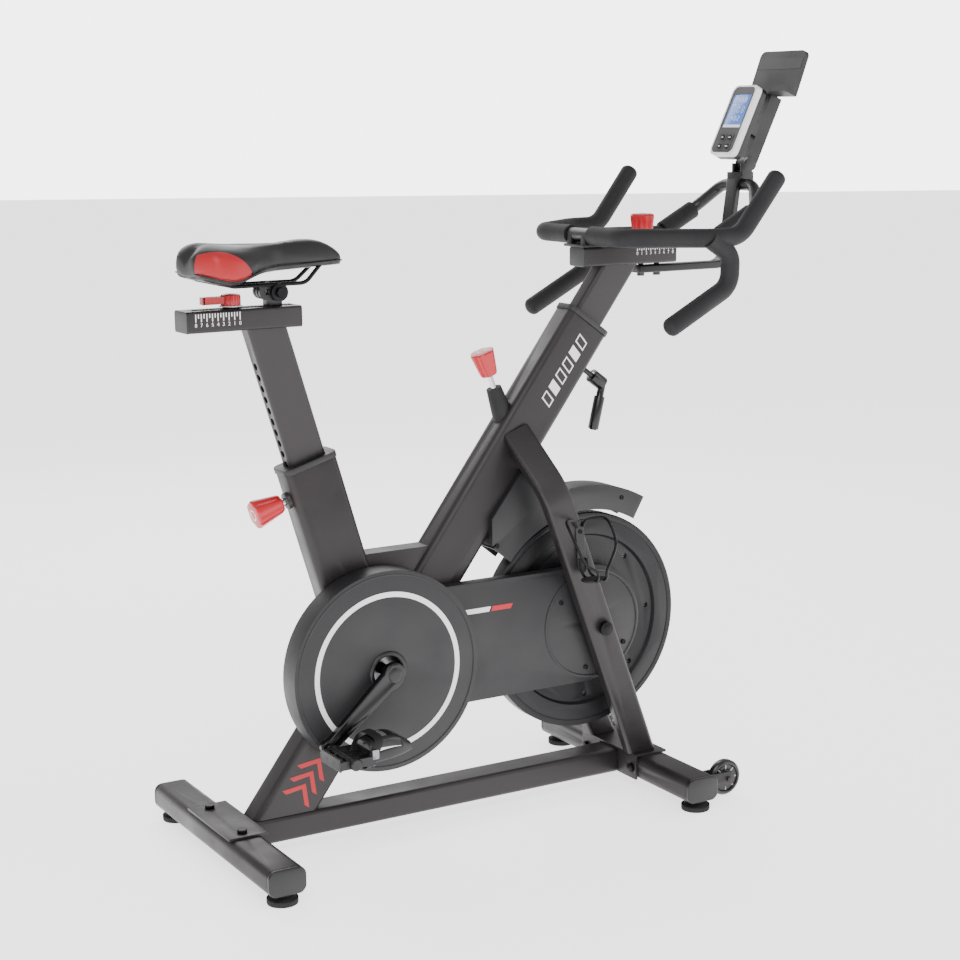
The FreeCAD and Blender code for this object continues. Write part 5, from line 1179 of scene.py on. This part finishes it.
def makePedal(word, side):
    body = "pedal_" + word.lower()
    low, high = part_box(body)
    centre = (low + high) / 2
    across = Matrix(((0, 0, 1, 0), (1, 0, 0, 0), (0, 1, 0, 0), (0, 0, 0, 1)))
    for end, label in ((pedal["back"], "Rear"), (pedal["front"] - pedal["rail"], "Front")):
        place = Matrix.Translation(centre + Vector((end * mm, 0, 0))) @ across
        verts, faces = plate(toothed(pedal["half"], pedal["thick"] - 7, pedal["teeth"], 3.4), place, pedal["rail"])
        piece("pedalPlate" + label + word, verts, faces, "blackNylon", body,
              (body,) if label == "Rear" else (), 30, True)
    middleX = (pedal["back"] + pedal["front"]) / 2
    reach = (pedal["front"] - pedal["back"]) / 2
    for number, (y, tall) in enumerate(((-pedal["half"], 15), (-pedal["half"] / 3, 11), (pedal["half"] / 3, 11),
                                        (pedal["half"], 15))):
        outline = roundedOutline(-reach, reach, -tall / 2, tall / 2, 3, 3)
        place = Matrix.Translation(centre + Vector((middleX * mm, (y + 2.5) * mm, 0))) @ toRight
        verts, faces = plate(outline, place, 5)
        piece("pedalRail%d%s" % (number, word), verts, faces, "blackNylon", body, (), 30, True)
    verts, faces = cageGrid(centre)
    cage = piece("toeCage" + word, verts, faces, "blackNylon", body,
                 ("toe_cage_" + word.lower(),), 40)
    wall = cage.modifiers.new("wall", "SOLIDIFY")
    wall.thickness = pedal["wall"] * mm
    wall.offset = -1
    smoothing = cage.modifiers.new("round", "SUBSURF")
    smoothing.levels = 1
    smoothing.render_levels = 1
    settled(cage)
    work = bmesh.new()
    work.from_mesh(cage.data)
    bmesh.ops.recalc_face_normals(work, faces=work.faces[:])
    work.to_mesh(cage.data)
    work.free()
    cage.data.shade_smooth()
    # bearing housing across the middle
    tube = Matrix.Translation(Vector((centre.x, low.y + 2 * mm, centre.z)))
    tube = tube @ Matrix.Rotation(math.radians(-90), 4, "X")
    length = (high.y - low.y) / mm - 4
    verts, faces = lathe(tube, [(9, 0), (10.6, 2), (11, 12), (9.4, 18), (9.4, length - 18), (11, length - 12),
                         (10.6, length - 2), (9, length)], 40)
    piece("pedalTube" + word, verts, faces, "blackNylon", body, (), 40, True)
    # strap: a flat band round the cage and under the pedal, with its buckle
    strapX = centre.x + pedal["strapAhead"] * mm
    points = []
    for k in range(48):
        angle = math.tau * k / 48
        c, s = math.cos(angle), math.sin(angle)
        y = pedal["strapHalf"] * math.copysign(abs(c) ** 0.5, c)
        z = pedal["strapMiddle"] + pedal["strapRise"] * math.copysign(abs(s) ** 0.55, s)
        lean = max(0, z) * pedal["strapLean"]
        points.append(Vector((strapX + lean * mm, centre.y + y * mm, centre.z + z * mm)))
    verts, faces = sweep(points, pedal["strapWide"] / 2 * mm, 12, True, 0.16, Vector((1, 0, 0.25)))
    piece("pedalStrap" + word, verts, faces, "rubber", body, (), 40, True)
    outline = roundedOutline(-6, 6, -8, 8, 2, 3)
    place = Matrix.Translation(Vector((strapX + 6 * mm, centre.y + side * 36.5 * mm, centre.z + 10 * mm)))
    verts, faces = plate(outline, place @ toRight, 3)
    piece("strapBuckle" + word, verts, faces, "zincPlate", body, (), 40, True)


for side, word in ((-1, "Right"), (1, "Left")):
    makePedal(word, side)


# bottle cage: bent wire loops on a central bracket
print("bottle cage")
cageWire = {"radius": 2.6, "x": 378, "bracketY": -117, "low": 441, "high": 552}


def makeBottleCage():
    x = cageWire["x"]
    y = cageWire["bracketY"]
    wire = cageWire["radius"] * mm
    low = cageWire["low"]
    high = cageWire["high"]
    for side, word in ((-1, "Rear"), (1, "Front")):
        shift = side * 44
        loop = [at(x - 3 + side * 6, y - 3, high - 18), at(x - 4 + side * 16, y - 6, high - 4),
                at(x - 6 + shift * 0.9, y - 26, high), at(x - 6 + shift, y - 44, high - 14),
                at(x - 2 + shift * 0.92, y - 58, high - 44), at(x + side * 26, y - 60, high - 74),
                at(x + 8 + side * 11, y - 59, high - 90), at(x + 12 + side * 9, y - 54, low + 6),
                at(x + 12 + side * 9, y - 42, low), at(x + 11 + side * 9, y - 18, low + 1),
                at(x + 8 + side * 8, y - 6, low + 10), at(x + 4 + side * 7, y - 4, low + 34)]
        verts, faces = sweep(smoothPath(loop, 9), wire, 12)
        piece("bottleWire" + word, verts, faces, "blackSteel", "frame",
              ("bottle_cage",) if side < 0 else (), 60, True)
    outline = roundedOutline(-9, 9, -50, 50, 8, 5)
    place = sideways(x + 2, y + 3.5, (low + high) / 2, 5)
    verts, faces = plate(outline, place, 4)
    made = piece("bottleBracket", verts, faces, "blackNylon", "frame", (), 40, True)
    bevelled(made, 1.2, 3)
    foot = Matrix.Translation(at(x + 11, y - 30, low - 3.5))
    verts, faces = lathe(foot, [(14, 0), (17, 1), (18, 3), (17, 5.5), (13, 6.5)], 40,
                         lambda r, h, a: r * (1 + 0.45 * math.cos(a) ** 2))
    piece("bottleFoot", verts, faces, "rubber", "frame", (), 50, True)
    screws("bottleScrews", [at(x, y - 0.6, 525), at(x + 3, y - 0.6, 470)], (0, -1, 0), 4, 2.4, "blackSteel",
           "frame")


makeBottleCage()


# spoked hubs of the transport wheels, ribbed feet, crank caps, screws and the clamp spring
print("fittings")
fittings = {"spokes": 8, "spokeMiddle": 15, "spoke": (18, 3, 13), "ribs": 36, "rib": (1.6, 2.2, 8), "ribUp": 6,
            "capY": 109.6, "capProfile": [(13.5, -3), (13.5, 0.6), (11.5, 2.2), (6, 2.8)],
            "hubProfile": [(7, -9.6), (9, -9), (9, 9), (7, 9.6)], "springAt": (470, 796), "springTurn": 126.4,
            "spring": [(7, 12), (8.6, 12.6), (8.6, 15), (7, 15.6), (7, 20), (8.6, 20.6), (8.6, 23), (7, 23.6),
                       (7, 28), (8.4, 28.6), (8.4, 30), (5, 30.6)]}


def spokeWays(count):
    return [(math.cos(math.tau * k / count), math.sin(math.tau * k / count)) for k in range(count)]


def makeFittings():
    count = fittings["spokes"]
    for word, node in (("Right", "transport_wheel_right"), ("Left", "transport_wheel_left")):
        centre = middle(node)
        reach = fittings["spokeMiddle"]
        spots = [centre + Vector((c * reach * mm, 0, s * reach * mm)) for c, s in spokeWays(count)]
        ways = [(c, 0, s) for c, s in spokeWays(count)]
        grown("wheelSpokes" + word, "blocks", spots, {"Size": tuple(v * mm for v in fittings["spoke"])}, "greyInk",
              node, ways, [(0, 1, 0)] * count)
        verts, faces = lathe(Matrix.Translation(centre) @ toRight, fittings["hubProfile"], 32)
        piece("wheelHub" + word, verts, faces, "whiteAbs", node, (), 40, True)
    count = fittings["ribs"]
    for node in ("rear_foot_right", "rear_foot_left", "front_foot_right", "front_foot_left"):
        low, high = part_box(node)
        centre = (low + high) / 2
        radius = (high.x - low.x) / 2 - 0.4 * mm
        up = fittings["ribUp"] * mm
        ribs = [Vector((centre.x + radius * c, centre.y + radius * s, up)) for c, s in spokeWays(count)]
        ways = [(c, s, 0) for c, s in spokeWays(count)]
        name = "footRibs" + "".join(word.capitalize() for word in node.split("_"))
        grown(name, "blocks", ribs, {"Size": tuple(v * mm for v in fittings["rib"])}, "rubber", node,
              ways, [(0, 0, 1)] * count)
    # round caps on the crank ends
    for side, word in ((-1, "Right"), (1, "Left")):
        profile = fittings["capProfile"]
        if side > 0:
            profile = [(radius, -out) for radius, out in reversed(profile)]
        verts, faces = lathe(sideways(0, side * fittings["capY"], crankUp), profile, 40)
        piece("crankCap" + word, verts, faces, "blackNylon", "crank", (), 40, True)
    # screws on the brake cover and the sprung bolt of the clamp lever
    screws("coverScrews", [at(248, -42.4, 500), at(520, -42.4, 560)], (0, -1, 0), 4.2, 2, "blackSteel", "frame")
    x, z = fittings["springAt"]
    verts, faces = lathe(leaning(at(x, 0, z), fittings["springTurn"]), fittings["spring"], 32)
    piece("clampSpring", verts, faces, "chromePlate", "frame", (), 40, True)


makeFittings()


# tablet tray: a thin panel with rounded top corners, its bottom ledge and a darker band
print("tablet tray")
tray = {"x": 889, "z": 1297, "lean": 21, "half": 67, "high": 89, "thick": 10, "corner": 12, "band": (52, 74)}


def makeTray():
    place = leaning(at(tray["x"], 0, tray["z"]), tray["lean"]) @ toRider
    work = bmesh.new()
    work.from_mesh(frame["nodes"]["tablet_holder"].data)
    bmesh.ops.remove_doubles(work, verts=work.verts[:], dist=0.00001)
    bmesh.ops.dissolve_limit(work, angle_limit=math.radians(0.6), verts=work.verts[:], edges=work.edges[:])
    back = place.inverted()
    corners = [edge for edge in work.edges
               if all((back @ v.co).y / mm > tray["high"] - 2 and abs((back @ v.co).x) / mm > tray["half"] - 2
                      for v in edge.verts)
               and abs(((back @ edge.verts[0].co) - (back @ edge.verts[1].co)).z) / mm > tray["thick"] / 2]
    bmesh.ops.bevel(work, geom=corners, offset=tray["corner"] * mm, segments=6, profile=0.5, affect="EDGES")
    bmesh.ops.triangulate(work, faces=[f for f in work.faces if len(f.verts) > 4])
    bmesh.ops.recalc_face_normals(work, faces=work.faces[:])
    mesh = bpy.data.meshes.new("tabletHolder")
    work.to_mesh(mesh)
    work.free()
    mesh.shade_flat()
    adopt("tabletHolder", mesh, "mouldedAbs", owner["tablet_holder"], ("tablet_holder",),
          None)
    low, high = tray["band"]
    wide = tray["half"] - 1
    outline = [(-wide, low), (wide, low), (wide, high), (-wide, high)]
    verts, faces = plate(outline, place, 0.4)
    piece("trayBand", verts, faces, "blackNylon", owner["tablet_holder"], (), 0, True)


makeTray()
